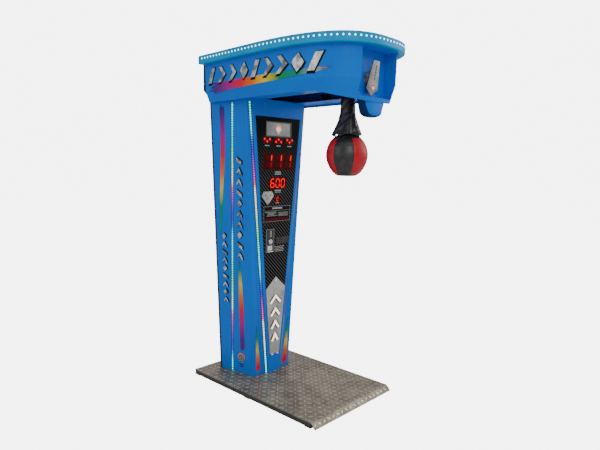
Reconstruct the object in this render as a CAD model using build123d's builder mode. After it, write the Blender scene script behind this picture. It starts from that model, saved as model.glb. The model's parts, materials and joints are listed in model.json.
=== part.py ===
"""Coin-operated boxing machine: a tread-plate base, a leaning light-strip column with the display
and coin door, and a long overhanging head whose swinging arm carries the punch ball.

Millimetres, +Z up, X across, the player stands on the -Y side. The origin is the centre of the
machine's plan box, on the floor.
"""

import os
from math import atan, cos, degrees, hypot, pi, radians, sin, tan

from build123d import *

os.makedirs("parts", exist_ok=True)

# ---------------------------------------------------------------- driving dimensions
machine_depth = 1381.0        # base rear edge to the nose of the lit rim
base_width = 780.0
base_length = 1200.0
base_height = 37.0            # top of the tread plate
tread_thickness = 4.0
foot_height = 4.0
foot_size = 55.0
nosing_run = 34.0             # how far the bent front lip slopes out
rail_width = 40.0
rail_wall = 3.0
cross_rails = 6

board_thickness = 18.0
board_rear_gap = 104.0        # base rear edge to the back board's rear face
board_step = 52.0             # 45 degree step outwards under the head

column_wall = 6.0
column_top = 1984.0
column_depth = 313.5          # back board to the raised front panel, at the tread plate
front_lean = 37.5             # how far the column's front leans out over its height

led_channel_width = 23.0
led_channel_depth = 4.0
led_width = 13.0
led_depth = 2.5
led_top_gap = 18.0            # column top to the end of the light strips

panel_thickness = 4.0
panel_top = column_top - 109
panel_top_half = 212.0
panel_low = 176.0
panel_low_half = 44.5
panel_gap = 1.5               # joint between the display panel and the cash door
cutout_border = 18.0

head_wall = 5.0
head_lip_z = column_top - 12  # lower edge of the head from the column to the arm
nose_drop = 60.0              # how much lower the head's edge is at the nose
crease_rise = 68.0            # lower edge to where the head's sides turn inwards
head_height = 300.0
rim_height = 57.0
rim_rise = 6.0                # rim above the roof panel's seat
rim_wall = 4.0
rim_overhang = 42.0           # rim to head body
rim_half_back = 408.0
rim_half_front = 425.0
nose_length = 698.0           # rounded nose, from its tip to where the straight sides start
rim_power = 2.8               # exponent of the superellipse of the nose
pan_gap = 1.0                 # column top to the pan
pan_thickness = 3.0
bay_half = 160.0              # half-width of the slot that the ball swings through

recess_half = 168.0
recess_depth = 154.0          # nose of the rim to the wall behind the emblem
emblem_rise = 87.0            # head's lower edge to the emblem
emblem_boss_radius = 42.0
emblem_standoff = 40.0
emblem_tilt = 11.0            # top of the plate leans towards the player
emblem_thickness = 5.0

arm_setback = 299.0           # nose of the rim to the arm
pivot_rise = 96.0             # column top to the pivot
arm_length = 465.0            # pivot to the middle of the ball
shaft_radius = 12.5
running_clearance = 0.05
tube_radius = 16.0
tube_wall = 3.0
ball_radius = 131.0
ball_cover = 9.0              # leather cover with the bladder inside it
sleeve_drop = 120.0           # pivot to the top of the sleeve
sleeve_overlap = 18.0         # hem below the top of the ball
sleeve_top_radius = 45.0
sleeve_low_radius = 92.0
sleeve_wall = 5.0

beam_x = 175.0
beam_width = 30.0
beam_rise = 45.0              # pivot to the beams
beam_height = 40.0

# ---------------------------------------------------------------- derived places
base_rear = machine_depth / 2
base_front = base_rear - base_length
board_rear = base_rear - board_rear_gap
board_front = board_rear - board_thickness
nose_y = -machine_depth / 2
front_y_low = board_front - column_depth
nose_lip_z = head_lip_z - nose_drop
crease_z = head_lip_z + crease_rise
head_top = head_lip_z + head_height
rim_top = head_top + rim_rise
rim_low = rim_top - rim_height
rim_corner_y = nose_y + nose_length
board_step_z = column_top + 15
pan_z = column_top + pan_gap
recess_wall_y = nose_y + recess_depth
emblem_z = head_lip_z + emblem_rise
arm_y = nose_y + arm_setback
pivot_z = column_top + pivot_rise
ball_centre_z = pivot_z - arm_length
sleeve_top_z = pivot_z - sleeve_drop
sleeve_low_z = ball_centre_z + ball_radius - sleeve_overlap
beam_low = pivot_z + beam_rise
beam_high = beam_low + beam_height
rim_length = rim_corner_y - nose_y
column_height = column_top - base_height
lean_angle = degrees(atan(front_lean / column_height))
front_y_zero = front_y_low + base_height * tan(radians(lean_angle))
# The leaning front panel's own plane: local x is X, local y is up the panel.
front_plane = Plane(
    origin=(0, front_y_zero, 0),
    x_dir=(1, 0, 0),
    z_dir=(0, -cos(radians(lean_angle)), -sin(radians(lean_angle))),
)


def save(part, name):
    """Label one finished piece and write it."""
    part.label = name
    export_step(part, f"parts/{name}.step")


def front_point(x, height, outward):
    """A point of the leaning front panel in the machine's frame."""
    return front_plane.from_local_coords(Vector(x, height, outward))


# ---------------------------------------------------------------- base
frame_front = base_front + nosing_run + 4
frame_length = base_rear - frame_front
frame_height = base_height - tread_thickness - foot_height
frame_y = (base_rear + frame_front) / 2
rail_pitch = (frame_length - rail_width) / (cross_rails - 1)
bay_length = rail_pitch - rail_width
bay_width = (base_width - 3 * rail_width) / 2

with BuildPart() as base_frame:
    with BuildSketch(Plane.XY.offset(foot_height)):
        with Locations((0, frame_y)):
            Rectangle(base_width, frame_length)
        with Locations((0, frame_y)):
            with GridLocations(bay_width + rail_width, rail_pitch, 2, cross_rails - 1):
                Rectangle(bay_width, bay_length, mode=Mode.SUBTRACT)
    extrude(amount=frame_height)
    # the rails are channels, open downwards
    with BuildSketch(Plane.XY.offset(foot_height)):
        with Locations((0, frame_y)):
            with GridLocations(1, rail_pitch, 1, cross_rails):
                Rectangle(base_width - 2 * rail_width, rail_width - 2 * rail_wall)
    extrude(amount=frame_height - rail_wall, mode=Mode.SUBTRACT)
    fillet(base_frame.edges().filter_by(Axis.Z).group_by(Axis.X)[0], 3)
    fillet(base_frame.edges().filter_by(Axis.Z).group_by(Axis.X)[-1], 3)
save(base_frame.part, "base_frame")

with BuildPart() as tread_plate:
    with BuildSketch(Plane.YZ.offset(-base_width / 2)):
        with BuildLine():
            Polyline(
                (base_rear, base_height - tread_thickness),
                (base_rear, base_height),
                (base_front + nosing_run, base_height),
                (base_front, foot_height),
                (base_front + tread_thickness * 1.3, foot_height),
                (base_front + nosing_run - tread_thickness * 0.4, base_height - tread_thickness),
                close=True,
            )
        make_face()
    extrude(amount=base_width)
save(tread_plate.part, "tread_plate")

with BuildPart() as base_feet:
    with BuildSketch():
        with Locations((0, frame_y)):
            with GridLocations(base_width - foot_size, frame_length - foot_size, 2, 2):
                RectangleRounded(foot_size, foot_size, 6)
            with GridLocations(base_width - foot_size, 1, 2, 1):
                RectangleRounded(foot_size, foot_size, 6)
    extrude(amount=foot_height)
save(base_feet.part, "base_feet")


# ---------------------------------------------------------------- column
def column_points(z):
    """Half outline of the column's shell at one height, from the board to the front panel's edge.

    Every corner runs in a straight line from its place at the tread plate to its place under the
    head, so the sides spread and the raised front panel widens with height.
    """
    low = [
        (233, board_front),
        (205, board_front - 88),
        (184, front_y_low + 35),
        (158, front_y_low + 21),
        (108, front_y_low + 28),
        (46, front_y_low),
    ]
    high_front = front_y_low - front_lean
    high = [
        (313, board_front),
        (285, board_front - 194),
        (284, high_front + 26),
        (281, high_front + 18),
        (277, high_front + 14),
        (250, high_front),
    ]
    share = (z - base_height) / column_height
    return [
        (a[0] + (b[0] - a[0]) * share, a[1] + (b[1] - a[1]) * share) for a, b in zip(low, high)
    ]


def column_section(z, inset=0.0):
    """Closed column outline at one height, its back pushed out by a wall so that it can be cut."""
    with BuildSketch(Plane.XY.offset(z)) as section:
        with BuildLine():
            half = column_points(z)
            half[0] = (half[0][0], half[0][1] + column_wall)
            Polyline(*half, *[(-x, y) for x, y in reversed(half)], close=True)
        make_face()
        if inset:
            offset(amount=-inset, kind=Kind.INTERSECTION, mode=Mode.REPLACE)
    return section.sketch


def front_half_width(z):
    """Half-width of the display panel and the cash door at one height."""
    share = (z - panel_low) / (panel_top - panel_low)
    return panel_low_half + (panel_top_half - panel_low_half) * share


door_shoulder = 667.0
door_tip = 751.0
window_low = door_tip + 24


def kite(low, low_half, shoulder, shoulder_half, tip):
    """Outline of the cash door: narrow foot, wide shoulders, pointed top."""
    Polyline(
        (-low_half, low), (low_half, low), (shoulder_half, shoulder), (0, tip),
        (-shoulder_half, shoulder), close=True,
    )


with BuildPart() as column_shell:
    loft([column_section(base_height), column_section(column_top)], ruled=True)
    loft(
        [column_section(base_height - 1, column_wall), column_section(column_top + 1, column_wall)],
        ruled=True, mode=Mode.SUBTRACT,
    )
    with Locations((0, board_front, base_height - 5)):
        Box(
            machine_depth, machine_depth, column_height + 10,
            align=(Align.CENTER, Align.MIN, Align.MIN), mode=Mode.SUBTRACT,
        )
    # window behind the display panel, and the mouth behind the cash door
    with BuildSketch(front_plane.offset(panel_thickness)):
        with BuildLine():
            top = panel_top - cutout_border
            Polyline(
                (-front_half_width(window_low) + cutout_border, window_low),
                (front_half_width(window_low) - cutout_border, window_low),
                (front_half_width(top) - cutout_border, top),
                (-front_half_width(top) + cutout_border, top),
                close=True,
            )
        make_face()
    extrude(amount=-20, mode=Mode.SUBTRACT)
    with BuildSketch(front_plane.offset(panel_thickness)):
        with BuildLine():
            kite(panel_low + 12, panel_low_half - 9, door_shoulder - 4,
                 front_half_width(door_shoulder) - 10, door_tip - 15)
        make_face()
    extrude(amount=-20, mode=Mode.SUBTRACT)


def strip_plane(low, high, face):
    """Plane across a light strip that runs from low to high, its local y pointing out of face."""
    along = (Vector(*high) - Vector(*low)).normalized()
    out = Vector(*face)
    out = (out - along * out.dot(along)).normalized()
    across = out.cross(along)
    return Plane(origin=low, x_dir=across, z_dir=along)


def strip_ends(corner_share, low_pair, high_pair):
    """The low and high end of a strip that lies between two neighbouring corners of the shell."""
    ends = []
    for z, share in (
        (base_height + 2, corner_share[0]), (column_top - led_top_gap, corner_share[1]),
    ):
        points = column_points(z)
        a, b = points[low_pair], points[high_pair]
        ends.append((a[0] + (b[0] - a[0]) * share, a[1] + (b[1] - a[1]) * share, z))
    return ends


side_low, side_high = strip_ends((0, 0), 1, 1)
front_low, front_high = strip_ends((0.68, 0.5), 4, 5)
strips = {
    "side": (side_low, side_high, (1, -0.22, 0)),
    "front": (front_low, front_high, (0.42, -0.91, -0.02)),
}
for name, (low, high, face) in strips.items():
    for hand, sign in (("left", -1), ("right", 1)):
        start = (sign * low[0], low[1], low[2])
        end = (sign * high[0], high[1], high[2])
        across = strip_plane(start, end, (sign * face[0], face[1], face[2]))
        length = (Vector(*end) - Vector(*start)).length
        with BuildPart() as channel:
            with BuildSketch(across):
                with Locations((0, -led_channel_depth / 2)):
                    Rectangle(led_channel_width, led_channel_depth)
                with Locations((0, -led_depth / 2)):
                    Rectangle(led_width, led_depth, mode=Mode.SUBTRACT)
            extrude(amount=length)
        save(channel.part, f"{name}_led_channel_{hand}")
        with BuildPart() as strip:
            with BuildSketch(across):
                with Locations((0, -led_depth / 2)):
                    Rectangle(led_width, led_depth)
            extrude(amount=length)
        save(strip.part, f"{name}_led_strip_{hand}")
        with BuildPart() as groove:
            with BuildSketch(across.offset(-10)):
                Rectangle(led_channel_width, 2 * led_channel_depth)
            extrude(amount=length + 10)
        with column_shell:
            add(groove.part, mode=Mode.SUBTRACT)
save(column_shell.part, "column_shell")

# ---------------------------------------------------------------- back board and service door
board_low_half = column_points(base_height)[0][0]
board_high_half = column_points(board_step_z)[0][0]
board_top_half = board_high_half + board_step
door_width = 300.0
door_low, door_high = 420.0, 1480.0
door_gap = 2.0
inlet_z = 150.0

with BuildPart() as back_board:
    with BuildSketch(Plane.XZ.offset(-board_front)):
        with BuildLine():
            half = [
                (board_low_half, base_height),
                (board_high_half, board_step_z),
                (board_top_half, board_step_z + board_step),
                (board_top_half, rim_low),
            ]
            Polyline(*half, *[(-x, z) for x, z in reversed(half)], close=True)
        make_face()
        with Locations((0, (door_low + door_high) / 2)):
            Rectangle(door_width, door_high - door_low, mode=Mode.SUBTRACT)
        with Locations((0, inlet_z)):
            Rectangle(28, 48, mode=Mode.SUBTRACT)
        with Locations((0, door_high + 160)):
            with GridLocations(40, 22, 6, 4):
                SlotOverall(30, 8, mode=Mode.SUBTRACT)
    extrude(amount=-board_thickness)
save(back_board.part, "back_board")

hinge_radius = 5.0
hinge_x = -door_width / 2 - 2
hinge_y = board_rear + 4
knuckle = 60.0
leaf_width = 22.0
pin_radius = 2.5

with BuildPart() as service_hinge:
    for z in (door_low + 140, door_high - 140):
        with Locations((hinge_x - hinge_radius, board_rear, z)):
            Box(leaf_width, 2, knuckle, align=(Align.MAX, Align.MIN, Align.CENTER))
        with BuildSketch(Plane.XY.offset(z - knuckle / 2)):
            with Locations((hinge_x, hinge_y)):
                Circle(hinge_radius - 1)
            with Locations((hinge_x, board_rear + 1)):
                Rectangle(leaf_width / 2, 2, align=(Align.MAX, Align.CENTER))
        extrude(amount=knuckle / 2 - 0.5)
        with BuildSketch(Plane.XY.offset(z - knuckle / 2)):
            with Locations((hinge_x, hinge_y)):
                Circle(pin_radius)
        extrude(amount=knuckle)
save(service_hinge.part, "service_hinge")

with BuildPart() as service_door:
    with Locations((0, board_rear, (door_low + door_high) / 2)):
        Box(
            door_width - 2 * door_gap, board_thickness - 2, door_high - door_low - 2 * door_gap,
            align=(Align.CENTER, Align.MAX, Align.CENTER),
        )
    for z in (door_low + 140, door_high - 140):
        with BuildSketch(Plane.XY.offset(z + 0.5)):
            with Locations((hinge_x, hinge_y)):
                Circle(hinge_radius - 1)
            with Locations((hinge_x, board_rear + 1)):
                Rectangle(leaf_width, 2, align=(Align.MIN, Align.CENTER))
            with Locations((hinge_x, hinge_y)):
                Circle(pin_radius + running_clearance, mode=Mode.SUBTRACT)
        extrude(amount=knuckle / 2 - 0.5)
    with Locations((door_width / 2 - 30, board_rear, (door_low + door_high) / 2)):
        with Locations(Rotation(90, 0, 0)):
            Cylinder(9 + running_clearance, 80, mode=Mode.SUBTRACT)
save(service_door.part, "service_door")


def cam_lock(cam_length, door_depth):
    """A cam lock about the local z axis: domed head outside z = 0, plug inwards, cam behind."""
    Cylinder(12, 3, align=(Align.CENTER, Align.CENTER, Align.MIN))
    with Locations((0, 0, 3)):
        Cone(12, 8, 2, align=(Align.CENTER, Align.CENTER, Align.MIN))
    Cylinder(9, door_depth + 6, align=(Align.CENTER, Align.CENTER, Align.MAX))
    with Locations((0, 0, -door_depth - 3)):
        with Locations((0, -cam_length / 2 + 6, 0)):
            Box(13, cam_length, 3, align=(Align.CENTER, Align.CENTER, Align.MAX))
    with Locations((0, 0, 5)):
        Box(2, 9, 3, align=(Align.CENTER, Align.CENTER, Align.MAX), mode=Mode.SUBTRACT)


with BuildPart() as service_lock:
    cam_lock(40, board_thickness)
service_lock_place = Plane(
    origin=(door_width / 2 - 30, board_rear, (door_low + door_high) / 2),
    x_dir=(-1, 0, 0), z_dir=(0, 1, 0),
)
save(service_lock_place.location * service_lock.part, "service_lock")

with BuildPart() as mains_inlet:
    with Locations((0, board_rear, inlet_z)):
        Box(50, 3, 30 + 28, align=(Align.CENTER, Align.MIN, Align.CENTER))
        Box(27, board_thickness + 20, 47, align=(Align.CENTER, Align.MAX, Align.CENTER))
    with Locations((0, board_rear + 3, inlet_z)):
        Box(22, 18, 30, align=(Align.CENTER, Align.MAX, Align.CENTER), mode=Mode.SUBTRACT)
    with GridLocations(7, 1, 3, 1):
        with Locations((0, board_rear - 15, inlet_z)):
            Box(2, 12, 6, align=(Align.CENTER, Align.MIN, Align.CENTER))
save(mains_inlet.part, "mains_inlet")

# ---------------------------------------------------------------- display panel
lcd_z, lcd_width, lcd_height = panel_top - 81, 234.0, 92.0
lamp_z, lamp_width, lamp_height, lamp_pitch = panel_top - 160, 80.0, 44.0, 108.0
score_z, score_width, score_height = panel_top - 300.5, 286.0, 117.0
record_z, record_width, record_height = panel_top - 453, 168.0, 82.0
credit_z, credit_width, credit_height = panel_top - 566, 51.0, 38.0
badge_x, badge_z = -94.0, panel_top - 557
coin_x, coin_z, coin_width, coin_height = -69.0, panel_top - 857, 80.0, 166.0
blank_x, blank_z, blank_width, blank_height = 56.0, panel_top - 863, 126.0, 48.0
module_fit = 0.5              # clearance of a display module in its cut-out
module_depth = 26.0


def front_rectangle(x, height, width, tall, mode=Mode.ADD):
    """A rectangle on the front panel, its centre at x and height."""
    with Locations((x, height)):
        Rectangle(width, tall, mode=mode)


modules = {
    "lcd_screen": (0, lcd_z, lcd_width, lcd_height),
    "score_display": (0, score_z, score_width, score_height),
    "record_display": (0, record_z, record_width, record_height),
    "credit_display": (0, credit_z, credit_width, credit_height),
}

with BuildPart() as display_panel:
    with BuildSketch(front_plane):
        with BuildLine():
            shoulder_half = front_half_width(door_shoulder)
            Polyline(
                (-panel_top_half, panel_top), (-shoulder_half, door_shoulder + panel_gap),
                (0, door_tip + panel_gap), (shoulder_half, door_shoulder + panel_gap),
                (panel_top_half, panel_top), close=True,
            )
        make_face()
        for x, height, width, tall in modules.values():
            front_rectangle(x, height, width, tall, Mode.SUBTRACT)
        for x in (-lamp_pitch, 0, lamp_pitch):
            front_rectangle(x, lamp_z, lamp_width, lamp_height, Mode.SUBTRACT)
        front_rectangle(coin_x, coin_z, coin_width - 8, coin_height - 8, Mode.SUBTRACT)
        front_rectangle(blank_x, blank_z, blank_width - 16, blank_height - 16, Mode.SUBTRACT)
    extrude(amount=panel_thickness)
save(display_panel.part, "display_panel")

for name, (x, height, width, tall) in modules.items():
    with BuildPart() as module:
        with BuildSketch(front_plane.offset(panel_thickness - 1)):
            front_rectangle(x, height, width - 2 * module_fit, tall - 2 * module_fit)
        extrude(amount=-module_depth)
    save(module.part, name)

with BuildPart() as player_lamps:
    for x in (-lamp_pitch, 0, lamp_pitch):
        with BuildSketch(front_plane.offset(-module_depth)):
            front_rectangle(x, lamp_z, lamp_width - 2 * module_fit, lamp_height - 2 * module_fit)
        extrude(amount=module_depth + panel_thickness + 1)
save(player_lamps.part, "player_lamps")

with BuildPart() as lcd_bezel:
    with BuildSketch(front_plane.offset(panel_thickness)):
        front_rectangle(0, lcd_z, lcd_width + 14, lcd_height + 14)
        front_rectangle(0, lcd_z, lcd_width - 2, lcd_height - 2, Mode.SUBTRACT)
    extrude(amount=3)
save(lcd_bezel.part, "lcd_bezel")

with BuildPart() as diamond_badge:
    with BuildSketch(front_plane.offset(panel_thickness)):
        with BuildLine():
            Polyline(
                (badge_x - 36, badge_z + 49), (badge_x + 36, badge_z + 49),
                (badge_x + 58, badge_z + 18), (badge_x, badge_z - 50),
                (badge_x - 58, badge_z + 18), close=True,
            )
        make_face()
    extrude(amount=4, taper=30)
save(diamond_badge.part, "diamond_badge")

with BuildPart() as validator_blank:
    with BuildSketch(front_plane.offset(panel_thickness)):
        with Locations((blank_x, blank_z)):
            RectangleRounded(blank_width, blank_height, 4)
    extrude(amount=2)
save(validator_blank.part, "validator_blank")

# ---------------------------------------------------------------- coin acceptor
face_depth = 5.0
button_radius = 12.0
button_height = coin_z - 8
slot_height = coin_z + 48
cup_height = coin_z - 56
cup_width, cup_tall, cup_depth = 44.0, 40.0, 40.0
cup_wall = 1.5
coin_part_x = coin_x + 5

with BuildPart() as coin_faceplate:
    with BuildSketch(front_plane.offset(panel_thickness)):
        with Locations((coin_x, coin_z)):
            RectangleRounded(coin_width, coin_height, 10)
    extrude(amount=face_depth)
    with BuildSketch(front_plane.offset(panel_thickness)):
        front_rectangle(coin_part_x, cup_height, cup_width + 2 * cup_wall, cup_tall + 2 * cup_wall)
    extrude(amount=-cup_depth)
    with BuildSketch(front_plane.offset(panel_thickness + face_depth)):
        front_rectangle(coin_part_x, cup_height, cup_width, cup_tall)
    extrude(amount=-(face_depth + cup_depth - cup_wall), mode=Mode.SUBTRACT)
    with BuildSketch(front_plane.offset(panel_thickness + face_depth)):
        front_rectangle(coin_part_x, slot_height, 4, 34)
        with Locations((coin_part_x, button_height)):
            Circle(button_radius + running_clearance)
    extrude(amount=-face_depth, mode=Mode.SUBTRACT)
save(coin_faceplate.part, "coin_faceplate")

with BuildPart() as coin_reject_button:
    with BuildSketch(front_plane.offset(panel_thickness - 3)):
        with Locations((coin_part_x, button_height)):
            Circle(button_radius)
    extrude(amount=face_depth + 11)
    with BuildSketch(front_plane.offset(panel_thickness - 3)):
        with Locations((coin_part_x, button_height)):
            Circle(button_radius + 3)
    extrude(amount=2.5)
save(coin_reject_button.part, "coin_reject_button")

flap_pin = 1.5
flap_top = cup_height + cup_tall / 2 - flap_pin - 1
flap_outward = panel_thickness + 1.5
flap_tall = cup_tall - 8
with BuildPart() as coin_return_flap:
    with BuildSketch(front_plane.offset(flap_outward - 1)):
        front_rectangle(coin_part_x, flap_top - flap_tall / 2, cup_width - 2, flap_tall)
    extrude(amount=2)
    with BuildSketch(Plane.YZ.offset(coin_part_x - cup_width / 2 + 0.4)):
        pin_centre = front_point(0, flap_top, flap_outward)
        with Locations((pin_centre.Y, pin_centre.Z)):
            Circle(flap_pin)
    extrude(amount=cup_width - 0.8)
save(coin_return_flap.part, "coin_return_flap")

mech_gap = 14.0
with BuildPart() as coin_mech:
    with BuildSketch(front_plane.offset(-mech_gap)):
        front_rectangle(coin_x - 2, coin_z + 28, coin_width - 20, coin_height - 64)
    extrude(amount=-76)
    with BuildSketch(front_plane.offset(-mech_gap - 1)):
        front_rectangle(coin_part_x, slot_height, 12, 40)
    extrude(amount=panel_thickness + mech_gap + 1)
    with BuildSketch(front_plane.offset(panel_thickness)):
        front_rectangle(coin_part_x, slot_height, 4, 34)
    extrude(amount=-60, mode=Mode.SUBTRACT)
save(coin_mech.part, "coin_mech")

# ---------------------------------------------------------------- cash door
door_lock_height = 716.0
cash_hinge_height = panel_low - 8
cash_hinge_out = panel_thickness + 2
cash_hinge_radius = 5.0
cash_pin_radius = 2.0
fixed_knuckle = 30.0
hinge_centre = front_point(0, cash_hinge_height, cash_hinge_out)

with BuildPart() as cash_door:
    with BuildSketch(front_plane):
        with BuildLine():
            kite(panel_low, panel_low_half, door_shoulder, front_half_width(door_shoulder), door_tip)
        make_face()
        with Locations((0, door_lock_height)):
            Circle(9 + running_clearance, mode=Mode.SUBTRACT)
    extrude(amount=panel_thickness)
    for side in (-1, 1):
        with BuildSketch(Plane.YZ.offset(side * (fixed_knuckle / 2 + 10.5))):
            with Locations((hinge_centre.Y, hinge_centre.Z)):
                Circle(cash_hinge_radius)
            with BuildLine():
                Polyline(
                    (hinge_centre.Y - 1, hinge_centre.Z),
                    (hinge_centre.Y + panel_thickness, hinge_centre.Z),
                    (hinge_centre.Y + panel_thickness, hinge_centre.Z + 12),
                    (hinge_centre.Y - 1, hinge_centre.Z + 12),
                    close=True,
                )
            make_face()
            with Locations((hinge_centre.Y, hinge_centre.Z)):
                Circle(cash_pin_radius + running_clearance, mode=Mode.SUBTRACT)
        extrude(amount=10, both=True)
save(cash_door.part, "cash_door")

with BuildPart() as cash_hinge:
    with BuildSketch(Plane.YZ.offset(-fixed_knuckle / 2 - 20)):
        with Locations((hinge_centre.Y, hinge_centre.Z)):
            Circle(cash_pin_radius)
    extrude(amount=fixed_knuckle + 40)
    with BuildSketch(Plane.YZ):
        with Locations((hinge_centre.Y, hinge_centre.Z)):
            Circle(cash_hinge_radius)
        with BuildLine():
            Polyline(
                (hinge_centre.Y, hinge_centre.Z), (hinge_centre.Y + 4.5, hinge_centre.Z),
                (hinge_centre.Y + 4.5, hinge_centre.Z - 8), (hinge_centre.Y, hinge_centre.Z - 8),
                close=True,
            )
        make_face()
    extrude(amount=fixed_knuckle / 2, both=True)
    with BuildSketch(front_plane):
        front_rectangle(0, cash_hinge_height - 17, 2 * panel_low_half - 6, 22)
    extrude(amount=3)
save(cash_hinge.part, "cash_hinge")

with BuildPart() as door_motif:
    for index in range(4):
        middle = 300 + index * 95
        reach = 24 + index * 6
        with BuildSketch(front_plane.offset(panel_thickness)):
            with BuildLine():
                Polyline((-reach, middle - 22), (0, middle + 22), (reach, middle - 22))
                offset(amount=9, side=Side.BOTH, kind=Kind.ARC)
            make_face()
        extrude(amount=4)
save(door_motif.part, "door_motif")

with BuildPart() as cash_lock:
    cam_lock(38, panel_thickness + 5)
cash_lock_place = Plane(
    origin=front_point(0, door_lock_height, panel_thickness), x_dir=(1, 0, 0),
    z_dir=front_plane.z_dir,
)
save(cash_lock_place.location * cash_lock.part, "cash_lock")

cash_width, cash_height, cash_depth, cash_wall = 104.0, 150.0, 170.0, 2.0
shelf_z, shelf_thickness = 430.0, 3.0
cash_front = front_y_zero + 16
with BuildPart() as cash_box:
    with Locations((0, cash_front, shelf_z)):
        Box(cash_width, cash_depth, cash_height, align=(Align.CENTER, Align.MIN, Align.MIN))
    with Locations((0, cash_front + cash_wall, shelf_z + cash_wall)):
        Box(
            cash_width - 2 * cash_wall, cash_depth - 2 * cash_wall, cash_height,
            align=(Align.CENTER, Align.MIN, Align.MIN), mode=Mode.SUBTRACT,
        )
save(cash_box.part, "cash_box")


# ---------------------------------------------------------------- head
def rim_face(z, side_inset, nose_inset, back_y):
    """Plan outline of the head at one height: straight flared sides and a superellipse nose.

    The nose follows x = a cos(t)^(2/p), y = -b sin(t)^(2/p) about the point where the sides end.
    """
    half = rim_half_front - side_inset
    length = rim_length - nose_inset
    steps = 8
    curve = []
    for step in range(steps + 1):
        t = pi / 2 * step / steps
        curve.append(
            (
                half * max(cos(t), 0) ** (2 / rim_power),
                rim_corner_y - length * sin(t) ** (2 / rim_power),
            )
        )
    curve[-1] = (0, rim_corner_y - length)
    mirrored = [(-x, y) for x, y in reversed(curve[:-1])]
    flare = (rim_half_front - rim_half_back) / (board_front - rim_corner_y)
    back_half = half - flare * (back_y - rim_corner_y)
    with BuildSketch(Plane.XY.offset(z)) as sketch:
        with BuildLine():
            Spline(*curve, *mirrored, tangents=((0, -1), (0, 1)))
            Polyline(mirrored[-1], (-back_half, back_y), (back_half, back_y), curve[0])
        make_face()
    return sketch.sketch


waist_inset = 110.0           # side inset of the outline at the lowest section
waist_nose = 78.0
low_section_z = nose_lip_z - 12
crease_inset = rim_overhang + 6


def head_solid(wall, extra):
    """The head's closed outer shape, or its cavity when wall is the shell's thickness."""
    back = board_front + head_wall + extra
    with BuildPart() as solid:
        for low, low_side, low_nose, high, high_side, high_nose in (
            (low_section_z, waist_inset, waist_nose, crease_z, crease_inset, crease_inset),
            (crease_z, crease_inset, crease_inset, head_top + extra, rim_overhang, rim_overhang),
        ):
            loft(
                [
                    rim_face(low, low_side + wall, low_nose + wall, back),
                    rim_face(high, high_side + wall, high_nose + wall, back),
                ],
                ruled=True,
            )
    return solid.part


lip_slope = nose_drop / (arm_setback - rim_overhang - 8.5)


def lip_height(y):
    """Height of the head's lower edge: level back to the arm, then sloping down to the nose."""
    return head_lip_z - lip_slope * max(arm_y - y, 0)


def below_lip(y_back, lift):
    """Region under the head's lower edge in front of y_back, lifted by the floor's thickness."""
    y_front = nose_y - 50
    corner = [(arm_y, head_lip_z + lift)] if y_back > arm_y else []
    with BuildPart() as region:
        with BuildSketch(Plane.YZ.offset(-machine_depth)):
            with BuildLine():
                Polyline(
                    (y_back, low_section_z - 200), (y_back, lip_height(y_back) + lift), *corner,
                    (y_front, lip_height(y_front) + lift), (y_front, low_section_z - 200),
                    close=True,
                )
            make_face()
        extrude(amount=2 * machine_depth)
    return region.part


def recess_region(grow):
    """Channel in the nose that the emblem stands in, grown by the wall that lines it."""
    with BuildPart() as region:
        with BuildSketch(Plane.YZ.offset(-recess_half - grow)):
            with BuildLine():
                Polyline(
                    (recess_wall_y + grow, rim_low + 2 * grow),
                    (recess_wall_y + grow, head_lip_z - 10 - grow),
                    (recess_wall_y - 63.5 + grow, nose_lip_z + 33 - grow),
                    (nose_y - 100, nose_lip_z + 23 - grow),
                    (nose_y - 100, rim_low + 2 * grow),
                    close=True,
                )
            make_face()
        extrude(amount=2 * (recess_half + grow))
    return region.part


nose_floor_y = recess_wall_y + 42.5
head_outside = head_solid(0, 0)
head_inside = head_solid(head_wall, 5)
under_head = below_lip(board_rear + 100, 0)
under_nose_floor = below_lip(nose_floor_y, head_wall)
recess = recess_region(0)
recess_lining = recess_region(head_wall)

with BuildPart() as head_cavity:
    add(head_inside)
    add(recess_lining, mode=Mode.SUBTRACT)
    add(under_nose_floor, mode=Mode.SUBTRACT)

with BuildPart() as head_shell:
    add(head_outside)
    add(under_head, mode=Mode.SUBTRACT)
    add(recess, mode=Mode.SUBTRACT)
    add(head_cavity.part, mode=Mode.SUBTRACT)
    with Locations((0, board_front, low_section_z)):
        Box(
            machine_depth, machine_depth, head_top, align=(Align.CENTER, Align.MIN, Align.MIN),
            mode=Mode.SUBTRACT,
        )
save(head_shell.part, "head_shell")

bay_rear_y = front_y_low - front_lean - 14.5
speaker_x = bay_half + 95
pan_share = (crease_z - pan_z) / (crease_z - low_section_z)
pan_side = crease_inset + (waist_inset - crease_inset) * pan_share + head_wall + 0.5
pan_nose = crease_inset + (waist_nose - crease_inset) * pan_share + head_wall + 0.5
with BuildPart() as head_pan:
    with BuildSketch():
        add(rim_face(0, pan_side, pan_nose, board_front - 0.5))
        with Locations((0, bay_rear_y)):
            Rectangle(
                2 * bay_half, bay_rear_y - nose_floor_y - 4, align=(Align.CENTER, Align.MAX),
                mode=Mode.SUBTRACT,
            )
        with Locations((0, board_front - 28.5)):
            Rectangle(
                2 * (beam_x + beam_width), column_depth - 83.5, align=(Align.CENTER, Align.MAX),
                mode=Mode.SUBTRACT,
            )
        with Locations((0, recess_wall_y + head_wall + 1)):
            Rectangle(machine_depth, 400, align=(Align.CENTER, Align.MAX), mode=Mode.SUBTRACT)
        with Locations((speaker_x, 0)):
            with GridLocations(14, 14, 7, 7):
                Circle(3.5, mode=Mode.SUBTRACT)
    extrude(amount=pan_thickness)
save(Pos(0, 0, pan_z) * head_pan.part, "head_pan")

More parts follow.
